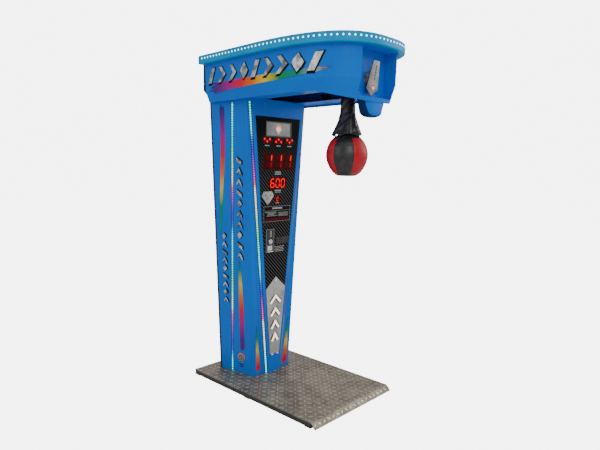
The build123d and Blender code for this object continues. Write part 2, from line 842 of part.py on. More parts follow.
with BuildPart() as speaker:
    with Locations((speaker_x, 0, pan_z + pan_thickness)):
        Cylinder(58, 6, align=(Align.CENTER, Align.CENTER, Align.MIN))
        Cylinder(46, 6, align=(Align.CENTER, Align.CENTER, Align.MIN), mode=Mode.SUBTRACT)
    with Locations((speaker_x, 0, pan_z + pan_thickness + 4)):
        Cone(50, 22, 30, align=(Align.CENTER, Align.CENTER, Align.MIN))
    with Locations((speaker_x, 0, pan_z + pan_thickness + 34)):
        Cylinder(32, 18, align=(Align.CENTER, Align.CENTER, Align.MIN))
save(speaker.part, "speaker")

with BuildPart() as roof_panel:
    add(rim_face(head_top, rim_wall + 0.3, rim_wall + 0.3, board_rear - rim_wall - 0.3))
    extrude(amount=3)
save(roof_panel.part, "roof_panel")

with BuildPart() as rim_lip:
    add(rim_face(rim_low, 0, 0, board_rear))
    extrude(amount=rim_height)
    add(rim_face(rim_low + rim_wall, rim_wall, rim_wall, board_rear - rim_wall))
    extrude(amount=rim_height, mode=Mode.SUBTRACT)
    add(rim_face(rim_low, rim_overhang, rim_overhang, board_rear - rim_wall))
    extrude(amount=rim_height, mode=Mode.SUBTRACT)
save(rim_lip.part, "rim_lip")

rim_led_z = rim_top - 0.4 * rim_height
with BuildPart() as rim_led_strip:
    add(rim_face(rim_led_z - 5, rim_wall, rim_wall, board_front))
    extrude(amount=10)
    add(rim_face(rim_led_z - 6, rim_wall + 3, rim_wall + 3, board_front + 1))
    extrude(amount=12, mode=Mode.SUBTRACT)
save(rim_led_strip.part, "rim_led_strip")

# The plate's own plane: local x is X, local y is up the tilted plate, local z points outwards.
emblem_plane = Plane(
    origin=(0, recess_wall_y - emblem_standoff, emblem_z), x_dir=(1, 0, 0),
    z_dir=(0, -cos(radians(emblem_tilt)), -sin(radians(emblem_tilt))),
)
with BuildPart() as emblem_boss:
    with Locations(Plane(origin=(0, recess_wall_y, emblem_z), x_dir=(1, 0, 0), z_dir=(0, -1, 0))):
        Cylinder(
            emblem_boss_radius, emblem_standoff + emblem_boss_radius,
            align=(Align.CENTER, Align.CENTER, Align.MIN),
        )
    split(bisect_by=emblem_plane, keep=Keep.BOTTOM)
save(emblem_boss.part, "emblem_boss")

with BuildPart() as emblem_plate:
    with BuildSketch(emblem_plane):
        with BuildLine():
            Polyline((-29, 101), (29, 101), (55.5, -61), (0, -101), (-55.5, -61), close=True)
        make_face()
    extrude(amount=emblem_thickness)
save(emblem_plate.part, "emblem_plate")

chin_top = nose_lip_z - 4
chin_low = chin_top - 74
chin_y = recess_wall_y - 25.5
with BuildPart() as chin_guard:
    with BuildSketch(Plane.XY.offset(chin_low)):
        with Locations((0, chin_y)):
            RectangleRounded(120, 74, 26)
    with BuildSketch(Plane.XY.offset(chin_low + 22)):
        with Locations((0, chin_y)):
            RectangleRounded(160, 96, 26)
    with BuildSketch(Plane.XY.offset(chin_top)):
        with Locations((0, chin_y)):
            RectangleRounded(200, 100, 26)
    loft()
    with BuildSketch(Plane.XY.offset(chin_top)):
        with Locations((0, chin_y)):
            RectangleRounded(200, 100, 26)
    extrude(amount=60)
    add(under_head, mode=Mode.INTERSECT)
save(chin_guard.part, "chin_guard")

# ---------------------------------------------------------------- welded inner frame
upright_y = board_front - 48.5
beam_front = recess_wall_y + 36.5
gantry_y = arm_y - 53.5
gantry_low = pivot_z + 132
gantry_high = gantry_low + 20
stop_y = arm_y + 81.5
tray_z, tray_height = 1300.0, 520.0

with BuildPart() as inner_frame:
    for side in (-1, 1):
        with Locations((side * beam_x, upright_y, base_height)):
            Box(
                beam_width, 40, beam_high - base_height, align=(Align.CENTER, Align.CENTER, Align.MIN)
            )
        with Locations((side * beam_x, upright_y + 20, beam_low)):
            Box(
                beam_width, upright_y + 20 - beam_front, beam_height,
                align=(Align.CENTER, Align.MAX, Align.MIN),
            )
        with Locations((side * beam_x, gantry_y, beam_high)):
            Box(beam_width, 30, gantry_high - beam_high, align=(Align.CENTER, Align.CENTER, Align.MIN))
    for z in (base_height, shelf_z - shelf_thickness - 20, 1000, 1580, beam_low):
        with Locations((0, upright_y, z)):
            Box(2 * beam_x, 40, 20, align=(Align.CENTER, Align.CENTER, Align.MIN))
    with Locations((0, gantry_y, gantry_low)):
        Box(2 * beam_x, 30, gantry_high - gantry_low, align=(Align.CENTER, Align.CENTER, Align.MIN))
    with Locations((0, stop_y, beam_low)):
        Box(2 * beam_x, 30, 20, align=(Align.CENTER, Align.CENTER, Align.MIN))
    with Locations((0, upright_y, shelf_z)):
        Box(
            120, upright_y - cash_front, shelf_thickness, align=(Align.CENTER, Align.MAX, Align.MAX)
        )
    with Locations((0, upright_y - 20, tray_z)):
        Box(2 * beam_x, 3, tray_height + 160, align=(Align.CENTER, Align.MAX, Align.CENTER))
save(inner_frame.part, "inner_frame")

tray_face = upright_y - 23
with BuildPart() as power_supply:
    with Locations((0, tray_face, 1100)):
        Box(200, 50, 100, align=(Align.CENTER, Align.MAX, Align.CENTER))
    with Locations((0, tray_face - 50, 1100)):
        with GridLocations(18, 1, 9, 1):
            Box(8, 3, 70, align=(Align.CENTER, Align.MIN, Align.CENTER), mode=Mode.SUBTRACT)
save(power_supply.part, "power_supply")

with BuildPart() as control_board:
    with Locations((0, tray_face - 8, 1380)):
        Box(220, 2, 280, align=(Align.CENTER, Align.MAX, Align.CENTER))
    for x, z in ((-100, 1250), (100, 1250), (-100, 1510), (100, 1510)):
        with Locations((x, tray_face, z)):
            Box(8, 8, 8, align=(Align.CENTER, Align.MAX, Align.CENTER))
    for x, z, wide, tall, deep in (
        (-40, 1440, 40, 40, 6), (50, 1440, 60, 26, 10), (0, 1350, 90, 30, 12), (-60, 1290, 36, 24, 18),
        (50, 1285, 24, 36, 16),
    ):
        with Locations((x, tray_face - 10, z)):
            Box(wide, deep, tall, align=(Align.CENTER, Align.MAX, Align.CENTER))
save(control_board.part, "control_board")

# ---------------------------------------------------------------- swinging arm
block_height = beam_low - pivot_z + 30
with BuildPart() as pivot_bearings:
    for side in (-1, 1):
        with Locations((side * beam_x, arm_y, beam_low)):
            Box(beam_width, 60, block_height, align=(Align.CENTER, Align.CENTER, Align.MAX))
    fillet(pivot_bearings.edges().filter_by(Axis.X).group_by(Axis.Z)[0], 20)
    with Locations((0, arm_y, pivot_z)):
        with Locations(Rotation(0, 90, 0)):
            Cylinder(shaft_radius + running_clearance, machine_depth, mode=Mode.SUBTRACT)
save(pivot_bearings.part, "pivot_bearings")

with BuildPart() as pivot_shaft:
    with Locations((0, arm_y, pivot_z)):
        with Locations(Rotation(0, 90, 0)):
            Cylinder(shaft_radius, 2 * beam_x + beam_width + 20)
save(pivot_shaft.part, "pivot_shaft")

hub_radius = 22.0
lever_reach = 86.0
catch_reach = 76.0
with BuildPart() as arm_hub:
    with Locations((0, arm_y, pivot_z)):
        with Locations(Rotation(0, 90, 0)):
            Cylinder(hub_radius, 50)
        Box(12, 20, lever_reach, align=(Align.CENTER, Align.CENTER, Align.MIN))
    with Locations((0, arm_y, pivot_z + catch_reach)):
        with Locations(Rotation(0, 90, 0)):
            Cylinder(5, 28)
    with Locations((0, arm_y, pivot_z)):
        with Locations(Rotation(0, 90, 0)):
            Cylinder(shaft_radius, 60, mode=Mode.SUBTRACT)
        Cylinder(
            tube_radius, 60, align=(Align.CENTER, Align.CENTER, Align.MAX), mode=Mode.SUBTRACT
        )
save(arm_hub.part, "arm_hub")

flange_radius, flange_thickness = 28.0, 6.0
ball_flat_z = ball_centre_z + ball_radius - 4
with BuildPart() as arm_tube:
    with Locations((0, arm_y, ball_flat_z)):
        Cylinder(
            tube_radius, pivot_z - shaft_radius - 2 - ball_flat_z,
            align=(Align.CENTER, Align.CENTER, Align.MIN),
        )
        Cylinder(flange_radius, flange_thickness, align=(Align.CENTER, Align.CENTER, Align.MIN))
    with Locations((0, arm_y, ball_flat_z + flange_thickness)):
        Cylinder(
            tube_radius - tube_wall, pivot_z, align=(Align.CENTER, Align.CENTER, Align.MIN),
            mode=Mode.SUBTRACT,
        )
save(arm_tube.part, "arm_tube")

with BuildPart() as punch_ball:
    with Locations((0, arm_y, ball_centre_z)):
        Sphere(ball_radius)
    with Locations((0, arm_y, ball_flat_z)):
        Box(
            ball_radius, ball_radius, ball_radius, align=(Align.CENTER, Align.CENTER, Align.MIN),
            mode=Mode.SUBTRACT,
        )
    with Locations((0, arm_y, ball_centre_z)):
        Sphere(ball_radius - ball_cover, mode=Mode.SUBTRACT)
save(punch_ball.part, "punch_ball")

with BuildPart() as leather_sleeve:
    with BuildSketch(Plane.XZ):
        with BuildLine():
            Polyline(
                (tube_radius, sleeve_top_z), (sleeve_top_radius, sleeve_top_z),
                (sleeve_top_radius, sleeve_top_z - 40), (sleeve_low_radius, sleeve_low_z),
                (sleeve_low_radius - sleeve_wall, sleeve_low_z),
                (sleeve_top_radius - sleeve_wall, sleeve_top_z - 40),
                (sleeve_top_radius - sleeve_wall, sleeve_top_z - sleeve_wall),
                (tube_radius, sleeve_top_z - sleeve_wall), close=True,
            )
        make_face()
    revolve(axis=Axis.Z)
save(Pos(0, arm_y, 0) * leather_sleeve.part, "leather_sleeve")

vane_x, vane_radius = -118.0, 40.0
with BuildPart() as sensor_vane:
    with Locations((vane_x, arm_y, pivot_z)):
        with Locations(Rotation(0, 90, 0)):
            Cylinder(vane_radius, 4)
            Cylinder(20, 14)
            Cylinder(shaft_radius, 30, mode=Mode.SUBTRACT)
            with PolarLocations(30, 18):
                Box(4, 8, 5, mode=Mode.SUBTRACT)
save(sensor_vane.part, "sensor_vane")

with BuildPart() as speed_sensor:
    with Locations((vane_x, arm_y, beam_low)):
        Box(24, 18, 12, align=(Align.CENTER, Align.CENTER, Align.MIN))
        with GridLocations(16, 1, 2, 1):
            Box(6, 18, 24, align=(Align.CENTER, Align.CENTER, Align.MAX))
    with Locations((-beam_x + beam_width / 2, arm_y, beam_low)):
        Box(40, 18, 12, align=(Align.MIN, Align.CENTER, Align.MIN))
save(speed_sensor.part, "speed_sensor")

with BuildPart() as arm_stop:
    with Locations((0, stop_y, beam_low)):
        Cylinder(20, 10, align=(Align.CENTER, Align.CENTER, Align.MAX))
    with Locations((0, stop_y, beam_low - 10)):
        Cone(12, 20, 20, align=(Align.CENTER, Align.CENTER, Align.MAX))
save(arm_stop.part, "arm_stop")

# ---------------------------------------------------------------- latch that holds the arm up
hook_y, hook_z = arm_y - 48.5, pivot_z + 90
hook_half = 4.0
hook_pin = 4.0
hook_swing = 35.0
tail_height = 25.0
hook_length = 74.5
hook_open = 57.4              # degrees from straight down to the open hook, towards the nose
plunger_radius = 5.0
link_pin = 2.0
cheek_in, cheek_out = 10.0, 14.0
bracket_plate_low = gantry_low - 3
rest_pin_y = hook_y + tail_height * tan(radians(hook_swing / 2))
rest_pin_z = hook_z + tail_height

with BuildPart() as latch_bracket:
    with Locations((0, hook_y - 20, bracket_plate_low)):
        Box(2 * cheek_out, 110, 3, align=(Align.CENTER, Align.MIN, Align.MIN))
    for side in (-1, 1):
        with Locations((side * (cheek_in + cheek_out) / 2, hook_y - 4.5, hook_z - 10)):
            Box(
                cheek_out - cheek_in, 21, bracket_plate_low - hook_z + 10,
                align=(Align.CENTER, Align.CENTER, Align.MIN),
            )
    with Locations((0, hook_y, hook_z)):
        with Locations(Rotation(0, 90, 0)):
            Cylinder(hook_pin, 2 * cheek_out)
save(latch_bracket.part, "latch_bracket")


def bar_between(start, end, width):
    """Round-ended bar in the YZ plane between two points."""
    middle = ((start[0] + end[0]) / 2, (start[1] + end[1]) / 2)
    run, rise = end[0] - start[0], end[1] - start[1]
    turn = degrees(atan(rise / run)) if abs(run) > 1e-6 else 90.0
    with Locations(Location(middle, turn)):
        SlotOverall(hypot(run, rise) + width, width)


tip_y = hook_y - hook_length * sin(radians(hook_open))
tip_z = hook_z - hook_length * cos(radians(hook_open))
tail_run = tail_height * tan(radians(hook_swing / 2))
with BuildPart() as latch_hook:
    with BuildSketch(Plane.YZ.offset(-hook_half)):
        bar_between((hook_y, hook_z), (tip_y, tip_z), 12)
        bar_between((hook_y, hook_z), (hook_y + tail_run, hook_z + tail_height), 13)
        with Locations((hook_y, hook_z)):
            Circle(8)
            Circle(hook_pin + running_clearance, mode=Mode.SUBTRACT)
        with Locations(Location((hook_y + tail_run, hook_z + tail_height), 90 - hook_swing / 2)):
            SlotOverall(11, 2 * link_pin + 1.6, mode=Mode.SUBTRACT)
    extrude(amount=2 * hook_half)
save(latch_hook.part, "latch_hook")

solenoid_front = hook_y + 26
with BuildPart() as latch_solenoid:
    with Locations((0, solenoid_front, bracket_plate_low)):
        Box(2 * cheek_out, 60, 28, align=(Align.CENTER, Align.MIN, Align.MAX))
    with Locations((0, solenoid_front, rest_pin_z)):
        with Locations(Rotation(90, 0, 0)):
            Cylinder(plunger_radius + running_clearance, 100, mode=Mode.SUBTRACT)
save(latch_solenoid.part, "latch_solenoid")

with BuildPart() as solenoid_plunger:
    with Locations((0, rest_pin_y + 9, rest_pin_z)):
        Box(17, 6, 12, align=(Align.CENTER, Align.MIN, Align.CENTER))
        with Locations(Rotation(-90, 0, 0)):
            Cylinder(plunger_radius, 48, align=(Align.CENTER, Align.CENTER, Align.MIN))
    for side in (-1, 1):
        with Locations((side * 6.6, rest_pin_y + 9, rest_pin_z)):
            Box(3.8, 15, 12, align=(Align.CENTER, Align.MAX, Align.CENTER))
    with Locations((0, rest_pin_y, rest_pin_z)):
        with Locations(Rotation(0, 90, 0)):
            Cylinder(link_pin, 16)
save(solenoid_plunger.part, "solenoid_plunger")
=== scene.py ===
# %% [markdown]
# # Dressing a boxing punch machine
# The measured model already has every plate, hinge and lever in its place. This lesson adds what
# a measured model lacks: glossy gel coat, light strips, a tread pattern, painted decoration,
# seven-segment digits and a sewn leather ball. Everything is in metres, with +Z up.

# %% Load the frame
import json
import math

import bpy
import numpy as np
from mathutils import Matrix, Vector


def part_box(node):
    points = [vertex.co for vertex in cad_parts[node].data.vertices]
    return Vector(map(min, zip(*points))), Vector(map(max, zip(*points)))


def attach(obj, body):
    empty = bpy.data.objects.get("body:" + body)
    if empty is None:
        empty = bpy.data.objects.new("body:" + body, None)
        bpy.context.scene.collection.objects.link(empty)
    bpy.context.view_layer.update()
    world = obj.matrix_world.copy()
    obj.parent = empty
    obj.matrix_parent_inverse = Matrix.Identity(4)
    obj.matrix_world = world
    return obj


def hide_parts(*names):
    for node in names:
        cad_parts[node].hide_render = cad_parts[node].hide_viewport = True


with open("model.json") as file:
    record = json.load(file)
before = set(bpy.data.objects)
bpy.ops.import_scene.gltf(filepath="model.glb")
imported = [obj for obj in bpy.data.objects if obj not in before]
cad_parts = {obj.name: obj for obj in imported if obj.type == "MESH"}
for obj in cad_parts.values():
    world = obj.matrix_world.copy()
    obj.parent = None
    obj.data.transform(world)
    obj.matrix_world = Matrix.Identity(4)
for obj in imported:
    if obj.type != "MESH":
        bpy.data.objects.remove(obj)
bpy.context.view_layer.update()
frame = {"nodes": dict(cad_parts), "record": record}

nodes = frame["nodes"]

# %% [markdown]
# ## The camera
# The viewpoint stands to the left of the player, at about eye height, and looks slightly down.
# A camera can be aimed with a constraint, but a plain rotation matrix keeps the slight roll too.
# The three columns of the matrix are the camera's right, its up, and its backward direction.

# %% Camera
azimuth, elevation, roll = map(math.radians, (-46.446, 6.531, -0.636))
camera_place = (-2.560, -2.431, 1.548)
backward = np.array([
    math.sin(azimuth) * math.cos(elevation), -math.cos(azimuth) * math.cos(elevation),
    math.sin(elevation),
])
right = np.cross(-backward, [0.0, 0.0, 1.0])
right /= np.linalg.norm(right)
down = np.cross(-backward, right)
turned_right = math.cos(roll) * right + math.sin(roll) * down
turned_down = math.cos(roll) * down - math.sin(roll) * right
camera_data = bpy.data.cameras.new("studio_camera")
camera_data.sensor_width = 36.0
camera_data.lens = 31.26
camera = bpy.data.objects.new("studio_camera", camera_data)
bpy.context.scene.collection.objects.link(camera)
matrix = np.eye(4)
matrix[:3, 0], matrix[:3, 1], matrix[:3, 2] = turned_right, -turned_down, backward
matrix[:3, 3] = camera_place
camera.matrix_world = Matrix(matrix.tolist())
bpy.context.scene.camera = camera
print("camera", camera_data.lens, "mm")

# %% [markdown]
# ## Turning arrays into meshes
# A grid of points becomes a surface when each point is joined to its right and upper neighbours.
# The face list can be built for the whole grid at once with numpy index arrays, which is quick
# and keeps every later shape down to one formula.

# %% Grid surfaces
def grid_faces(rows, columns, wrap_rows, wrap_columns):
    """Quads of a grid: corner (i, j) joins (i, j + 1), (i + 1, j + 1), (i + 1, j)."""
    i = np.arange(rows if wrap_rows else rows - 1)[:, None]
    j = np.arange(columns if wrap_columns else columns - 1)[None, :]
    i2, j2 = (i + 1) % rows, (j + 1) % columns
    quads = [i * columns + j, i * columns + j2, i2 * columns + j2, i2 * columns + j]
    return np.stack([q + 0 * (i + j) for q in quads], axis=-1).reshape(-1, 4)


def new_piece(name, points, faces, material, body, slot, smooth=True):
    """A mesh object made from arrays, which rides on a body."""
    mesh = bpy.data.meshes.new(name)
    corners = np.asarray(points, float).reshape(-1, 3).tolist()
    mesh.from_pydata(corners, [], [list(map(int, face)) for face in faces])
    mesh.validate()
    mesh.polygons.foreach_set("use_smooth", np.full(len(mesh.polygons), smooth))
    mesh.materials.append(material)
    piece = bpy.data.objects.new(name, mesh)
    bpy.context.scene.collection.objects.link(piece)
    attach(piece, body)
    return piece


def surface(name, grid, material, body, slot, wrap_rows=False, wrap_columns=False, flip=False):
    """A smooth surface through a grid of points, shape (rows, columns, 3)."""
    faces = grid_faces(grid.shape[0], grid.shape[1], wrap_rows, wrap_columns)
    return new_piece(name, grid, faces[:, ::-1] if flip else faces, material, body, slot)


print("a 3 x 3 grid has", len(grid_faces(3, 3, False, False)), "faces")

# %% [markdown]
# ## Studs: many small raised shapes at once
# Digits, screws, light dots, tread lenses and printed bars are all small flat outlines that
# stand a little proud of a surface. One helper raises any number of outlines with the same
# number of corners. Its place function bends flat (across, up, outwards) coordinates onto a wall.

# %% Raised outlines
def studs(name, outlines, place, low, high, material, body, slot, taper=1.0):
    """Prisms from outlines, shape (count, corners, 2), from depth low to depth high.

    The upper ring is the outline shrunk by taper about its middle, so 0.7 gives a bevelled stud.
    """
    outlines = np.asarray(outlines, float)
    area = np.sum(
        outlines[:, :, 0] * np.roll(outlines[:, :, 1], -1, 1)
        - np.roll(outlines[:, :, 0], -1, 1) * outlines[:, :, 1], axis=1,
    )
    outlines = np.where(area[:, None, None] < 0, outlines[:, ::-1], outlines)
    count, corners = outlines.shape[:2]
    middle = outlines.mean(axis=1, keepdims=True)
    upper = middle + (outlines - middle) * taper
    rings = np.stack([outlines, upper], axis=1)
    depth = np.broadcast_to(np.array([low, high])[None, :, None], rings.shape[:3])
    points = place(rings[..., 0], rings[..., 1], depth)
    start = (np.arange(count) * 2 * corners)[:, None]
    around = np.arange(corners)
    following = (around + 1) % corners
    sides = np.stack([
        start + around, start + following, start + corners + following, start + corners + around,
    ], axis=-1).reshape(-1, 4)
    tops = start + corners + around
    bottoms = start + around[::-1]
    faces = sides.tolist() + tops.tolist() + bottoms.tolist()
    return new_piece(name, points, faces, material, body, slot, smooth=False)


def regular(centres, radius, corners):
    """Regular polygons about centres, shape (count, 2): angle steps of a full turn / corners."""
    angle = np.arange(corners) * 2 * math.pi / corners
    ring = np.stack([np.cos(angle), np.sin(angle)], axis=-1) * radius
    return np.asarray(centres, float)[:, None, :] + ring[None]


def bars(boxes):
    """Rectangles from rows of (middle x, middle y, width, height)."""
    boxes = np.asarray(boxes, float)
    unit = np.array([[-0.5, -0.5], [0.5, -0.5], [0.5, 0.5], [-0.5, 0.5]])
    return boxes[:, None, :2] + unit[None] * boxes[:, None, 2:4]


print("a hexagon has area", round(float(3 * math.sqrt(3) / 2), 3), "for radius 1")

# %% [markdown]
# ## Finishes from nodes
# A real surface never has one roughness. Each finish below is a Principled shader whose
# roughness and bump come from noise in object coordinates, so nothing slides in other views.
# A colour that doesn't change over the surface is set straight on the shader's own socket. Two
# helpers keep the recipes short: one adds a node, the other joins sockets with links.

# %% Basic finish
def add_node(tree, kind, **values):
    """A new shader node with some of its inputs set; _ in an input's name stands for a space."""
    node = tree.nodes.new(f"ShaderNode{kind}")
    for socket, value in values.items():
        node.inputs[socket.replace("_", " ")].default_value = value
    return node


def join(tree, *links):
    """Links given as (from node, its output, to node, its input)."""
    for source, output, target, socket in links:
        tree.links.new(source.outputs[output], target.inputs[socket])


def finish(name, colour, roughness, metallic=0.0, grain=400.0, bump=0.05, spread=0.12, coat=0.0,
           stretch=(1.0, 1.0, 1.0), specular=0.5):
    """A procedural finish: noise of the given grain drives roughness +- spread and a fine bump."""
    material = bpy.data.materials.new(name)
    material.use_nodes = True
    tree = material.node_tree
    shader = tree.nodes["Principled BSDF"]
    for socket, value in (
        ("Base Color", (*colour, 1.0)), ("Metallic", metallic), ("Coat Weight", coat),
        ("Specular IOR Level", specular), ("Coat Roughness", 0.08),
    ):
        shader.inputs[socket].default_value = value
    where = add_node(tree, "TexCoord")
    mapping = add_node(tree, "Mapping", Scale=stretch)
    noise = add_node(tree, "TexNoise", Scale=grain, Detail=4.0)
    matt = add_node(
        tree, "MapRange", To_Min=max(roughness - spread, 0.03), To_Max=min(roughness + spread, 1.0),
    )
    grain_bump = add_node(tree, "Bump", Strength=bump, Distance=0.001)
    join(
        tree, (where, "Object", mapping, "Vector"), (mapping, "Vector", noise, "Vector"),
        (noise, "Fac", matt, "Value"), (matt, "Result", shader, "Roughness"),
        (noise, "Fac", grain_bump, "Height"), (grain_bump, "Normal", shader, "Normal"),
    )
    return material


def colour_drift(material, first, second, scale, low=0.35, high=0.65):
    """Lets the base colour drift between two tones with a slow noise of the given scale."""
    tree = material.node_tree
    where = add_node(tree, "TexCoord")
    noise = add_node(tree, "TexNoise", Scale=scale, Detail=5.0)
    ramp = add_node(tree, "ValToRGB")
    for stop, position, colour in zip(ramp.color_ramp.elements, (low, high), (first, second)):
        stop.position, stop.color = position, (*colour, 1.0)
    join(
        tree, (where, "Object", noise, "Vector"), (noise, "Fac", ramp, "Fac"),
        (ramp, "Color", tree.nodes["Principled BSDF"], "Base Color"),
    )
    return material


def glow(material, colour, strength):
    """Makes a finish give off light of one colour."""
    shader = material.node_tree.nodes["Principled BSDF"]
    shader.inputs["Emission Color"].default_value = (*colour, 1.0)
    shader.inputs["Emission Strength"].default_value = strength
    return material


print("helpers ready")

# %% [markdown]
# ## The palette
# The shell is glossy moulded plastic, the board is black laminate, and the small parts are
# steel, zinc or black metal. The grain is scaled to the real thing: orange peel in gel coat is
# a few millimetres across, brushed steel is a noise stretched along its lines.

# %% Palette
blue_gloss = colour_drift(
    finish("blue_gloss", (0.0, 0.15, 0.60), 0.36, grain=260, bump=0.02, spread=0.05, coat=0.03,
           specular=0.06),
    (0.0, 0.140, 0.62), (0.0, 0.160, 0.68), 3.0,
)
black_board = colour_drift(
    finish("black_board", (0.012, 0.012, 0.013), 0.42, grain=500, bump=0.10),
    (0.009, 0.009, 0.010), (0.020, 0.020, 0.021), 30.0,
)
black_paint = colour_drift(
    finish("black_paint", (0.012, 0.012, 0.013), 0.45, grain=700, bump=0.12),
    (0.010, 0.010, 0.011), (0.026, 0.024, 0.022), 18.0,
)
tread_steel = colour_drift(
    finish("tread_steel", (0.33, 0.31, 0.28), 0.46, metallic=0.55, grain=130, bump=0.12),
    (0.17, 0.145, 0.105), (0.31, 0.272, 0.205), 14.0,
)
tread_bright = colour_drift(
    finish("tread_bright", (0.6, 0.57, 0.52), 0.30, metallic=0.8, grain=90, bump=0.05),
    (0.36, 0.325, 0.25), (0.60, 0.54, 0.42), 12.0,
)
rubber = finish("rubber", (0.018, 0.018, 0.018), 0.85, grain=900, bump=0.2)
frame_steel = colour_drift(
    finish("frame_steel", (0.14, 0.15, 0.16), 0.5, metallic=0.4, grain=350, bump=0.1),
    (0.11, 0.12, 0.13), (0.18, 0.19, 0.20), 25.0,
)
channel_black = finish("channel_black", (0.012, 0.014, 0.02), 0.35, grain=600, bump=0.05)
black_metal = colour_drift(
    finish("black_metal", (0.022, 0.023, 0.023), 0.38, metallic=0.3, grain=600, bump=0.06),
    (0.016, 0.017, 0.017), (0.038, 0.038, 0.037), 40.0,
)
silver = colour_drift(
    finish("silver", (0.5, 0.49, 0.48), 0.34, metallic=0.9, grain=60, bump=0.06,
           stretch=(1.0, 1.0, 22.0)),
    (0.36, 0.355, 0.35), (0.60, 0.595, 0.585), 9.0,
)
dark_silver = colour_drift(
    finish("dark_silver", (0.3, 0.3, 0.3), 0.38, metallic=0.6, grain=60, bump=0.06,
           stretch=(1.0, 1.0, 22.0)),
    (0.12, 0.118, 0.115), (0.30, 0.295, 0.29), 14.0,
)
boss_silver = colour_drift(
    finish("boss_silver", (0.3, 0.3, 0.3), 0.35, metallic=0.15, grain=80, bump=0.06,
           stretch=(1.0, 14.0, 1.0)),
    (0.13, 0.11, 0.085), (0.34, 0.30, 0.24), 25.0,
)
steel = finish("steel", (0.46, 0.46, 0.47), 0.28, metallic=1.0, grain=90, bump=0.04,
               stretch=(1.0, 12.0, 1.0))
chrome = finish("chrome", (0.72, 0.72, 0.73), 0.14, metallic=1.0, grain=300, bump=0.01, spread=0.05)
zinc = colour_drift(
    finish("zinc", (0.4, 0.41, 0.42), 0.42, metallic=0.9, grain=80, bump=0.03),
    (0.33, 0.34, 0.35), (0.5, 0.51, 0.52), 60.0,
)
board_green = colour_drift(
    finish("board_green", (0.01, 0.10, 0.04), 0.35, grain=500, bump=0.1),
    (0.008, 0.08, 0.03), (0.015, 0.13, 0.055), 120.0, 0.48, 0.52,
)
dark_display = finish("dark_display", (0.075, 0.001, 0.002), 0.25, grain=900, bump=0.01,
                      spread=0.04, specular=0.06)
screen = finish("screen", (0.2, 0.2, 0.2), 0.2, grain=900, bump=0.01, spread=0.05)
print(len(bpy.data.materials), "finishes")

# %% [markdown]
# ## Striped laminate
# The display panel is black with thin diagonal stripes. A stripe is a repeat of one number, the
# distance across the stripes, so a wave texture would do, but a fraction of (x + z) / pitch
# gives crisp edges at a pitch that can be measured. The stripes fade out towards the screen.

# %% Striped finish
stripe_pitch = 0.0190
fade_top, fade_foot = 1.78, 1.42
panel_black = finish("panel_black", (0.01, 0.01, 0.011), 0.50, grain=800, bump=0.03, specular=0.04)
tree = panel_black.node_tree
where, split = add_node(tree, "TexCoord"), add_node(tree, "SeparateXYZ")
total, scaled, part_of_one = (add_node(tree, "Math") for _ in range(3))
total.operation, scaled.operation, part_of_one.operation = "ADD", "MULTIPLY", "FRACT"
scaled.inputs[1].default_value = 1 / (stripe_pitch * math.sqrt(2))
stripe = add_node(tree, "ValToRGB")
dark_line, pale_line = (0.002, 0.002, 0.002, 1.0), (0.10, 0.103, 0.10, 1.0)
stripe.color_ramp.elements[0].color = dark_line
stripe.color_ramp.elements[1].color = dark_line
for position, colour in ((0.70, dark_line), (0.78, pale_line), (0.93, pale_line)):
    stripe.color_ramp.elements.new(position).color = colour
fade = add_node(tree, "MapRange", From_Min=fade_top, From_Max=fade_foot, To_Min=0.12, To_Max=1.0)
faded = add_node(tree, "MixRGB", Color1=dark_line)
join(
    tree, (where, "Object", split, "Vector"), (split, "X", total, 0), (split, "Z", total, 1),
    (total, "Value", scaled, 0), (scaled, "Value", part_of_one, 0),
    (part_of_one, "Value", stripe, "Fac"), (split, "Z", fade, "Value"),
    (fade, "Result", faded, "Fac"), (stripe, "Color", faded, "Color2"),
    (faded, "Color", tree.nodes["Principled BSDF"], "Base Color"),
)
print("stripes every", stripe_pitch * 1000, "mm")

# %% [markdown]
# ## Light strips that change colour
# A running-colour strip is a row of small lamps under a frosted cover. The colour depends only
# on height here, so a colour ramp over object Z gives every strip its rainbow. The same kind of
# ramp along a UV map colours a painted stroke. The right front strip is dimmer than the left one,
# as painted shade that matches how it looks from the main view, though the real pair is probably
# alike.

# %% Rainbow finish
def rainbow(name, stops, low, high, strength, along_uv=False):
    """A finish whose colour follows object height from low to high, or UV x, through the stops.

    With a strength the colour is given off as light, and without one it is the surface's own.
    """
    material = finish(name, (0.5, 0.5, 0.5), 0.4, grain=700, bump=0.03)
    tree = material.node_tree
    where, split = add_node(tree, "TexCoord"), add_node(tree, "SeparateXYZ")
    span = add_node(tree, "MapRange", From_Min=low, From_Max=high)
    ramp = add_node(tree, "ValToRGB")
    for element, (position, colour) in zip(ramp.color_ramp.elements, (stops[0], stops[-1])):
        element.color, element.position = (*colour, 1.0), position
    for position, colour in stops[1:-1]:
        ramp.color_ramp.elements.new(position).color = (*colour, 1.0)
    source, axis = ("UV", "X") if along_uv else ("Object", "Z")
    shader = tree.nodes["Principled BSDF"]
    shader.inputs["Specular IOR Level"].default_value = 0.15
    if strength:
        shader.inputs["Base Color"].default_value = (0.02, 0.025, 0.03, 1.0)
        shader.inputs["Emission Strength"].default_value = strength
    join(
        tree, (where, source, split, "Vector"), (split, axis, span, "Value"),
        (span, "Result", ramp, "Fac"),
        (ramp, "Color", shader, "Emission Color" if strength else "Base Color"),
    )
    return material


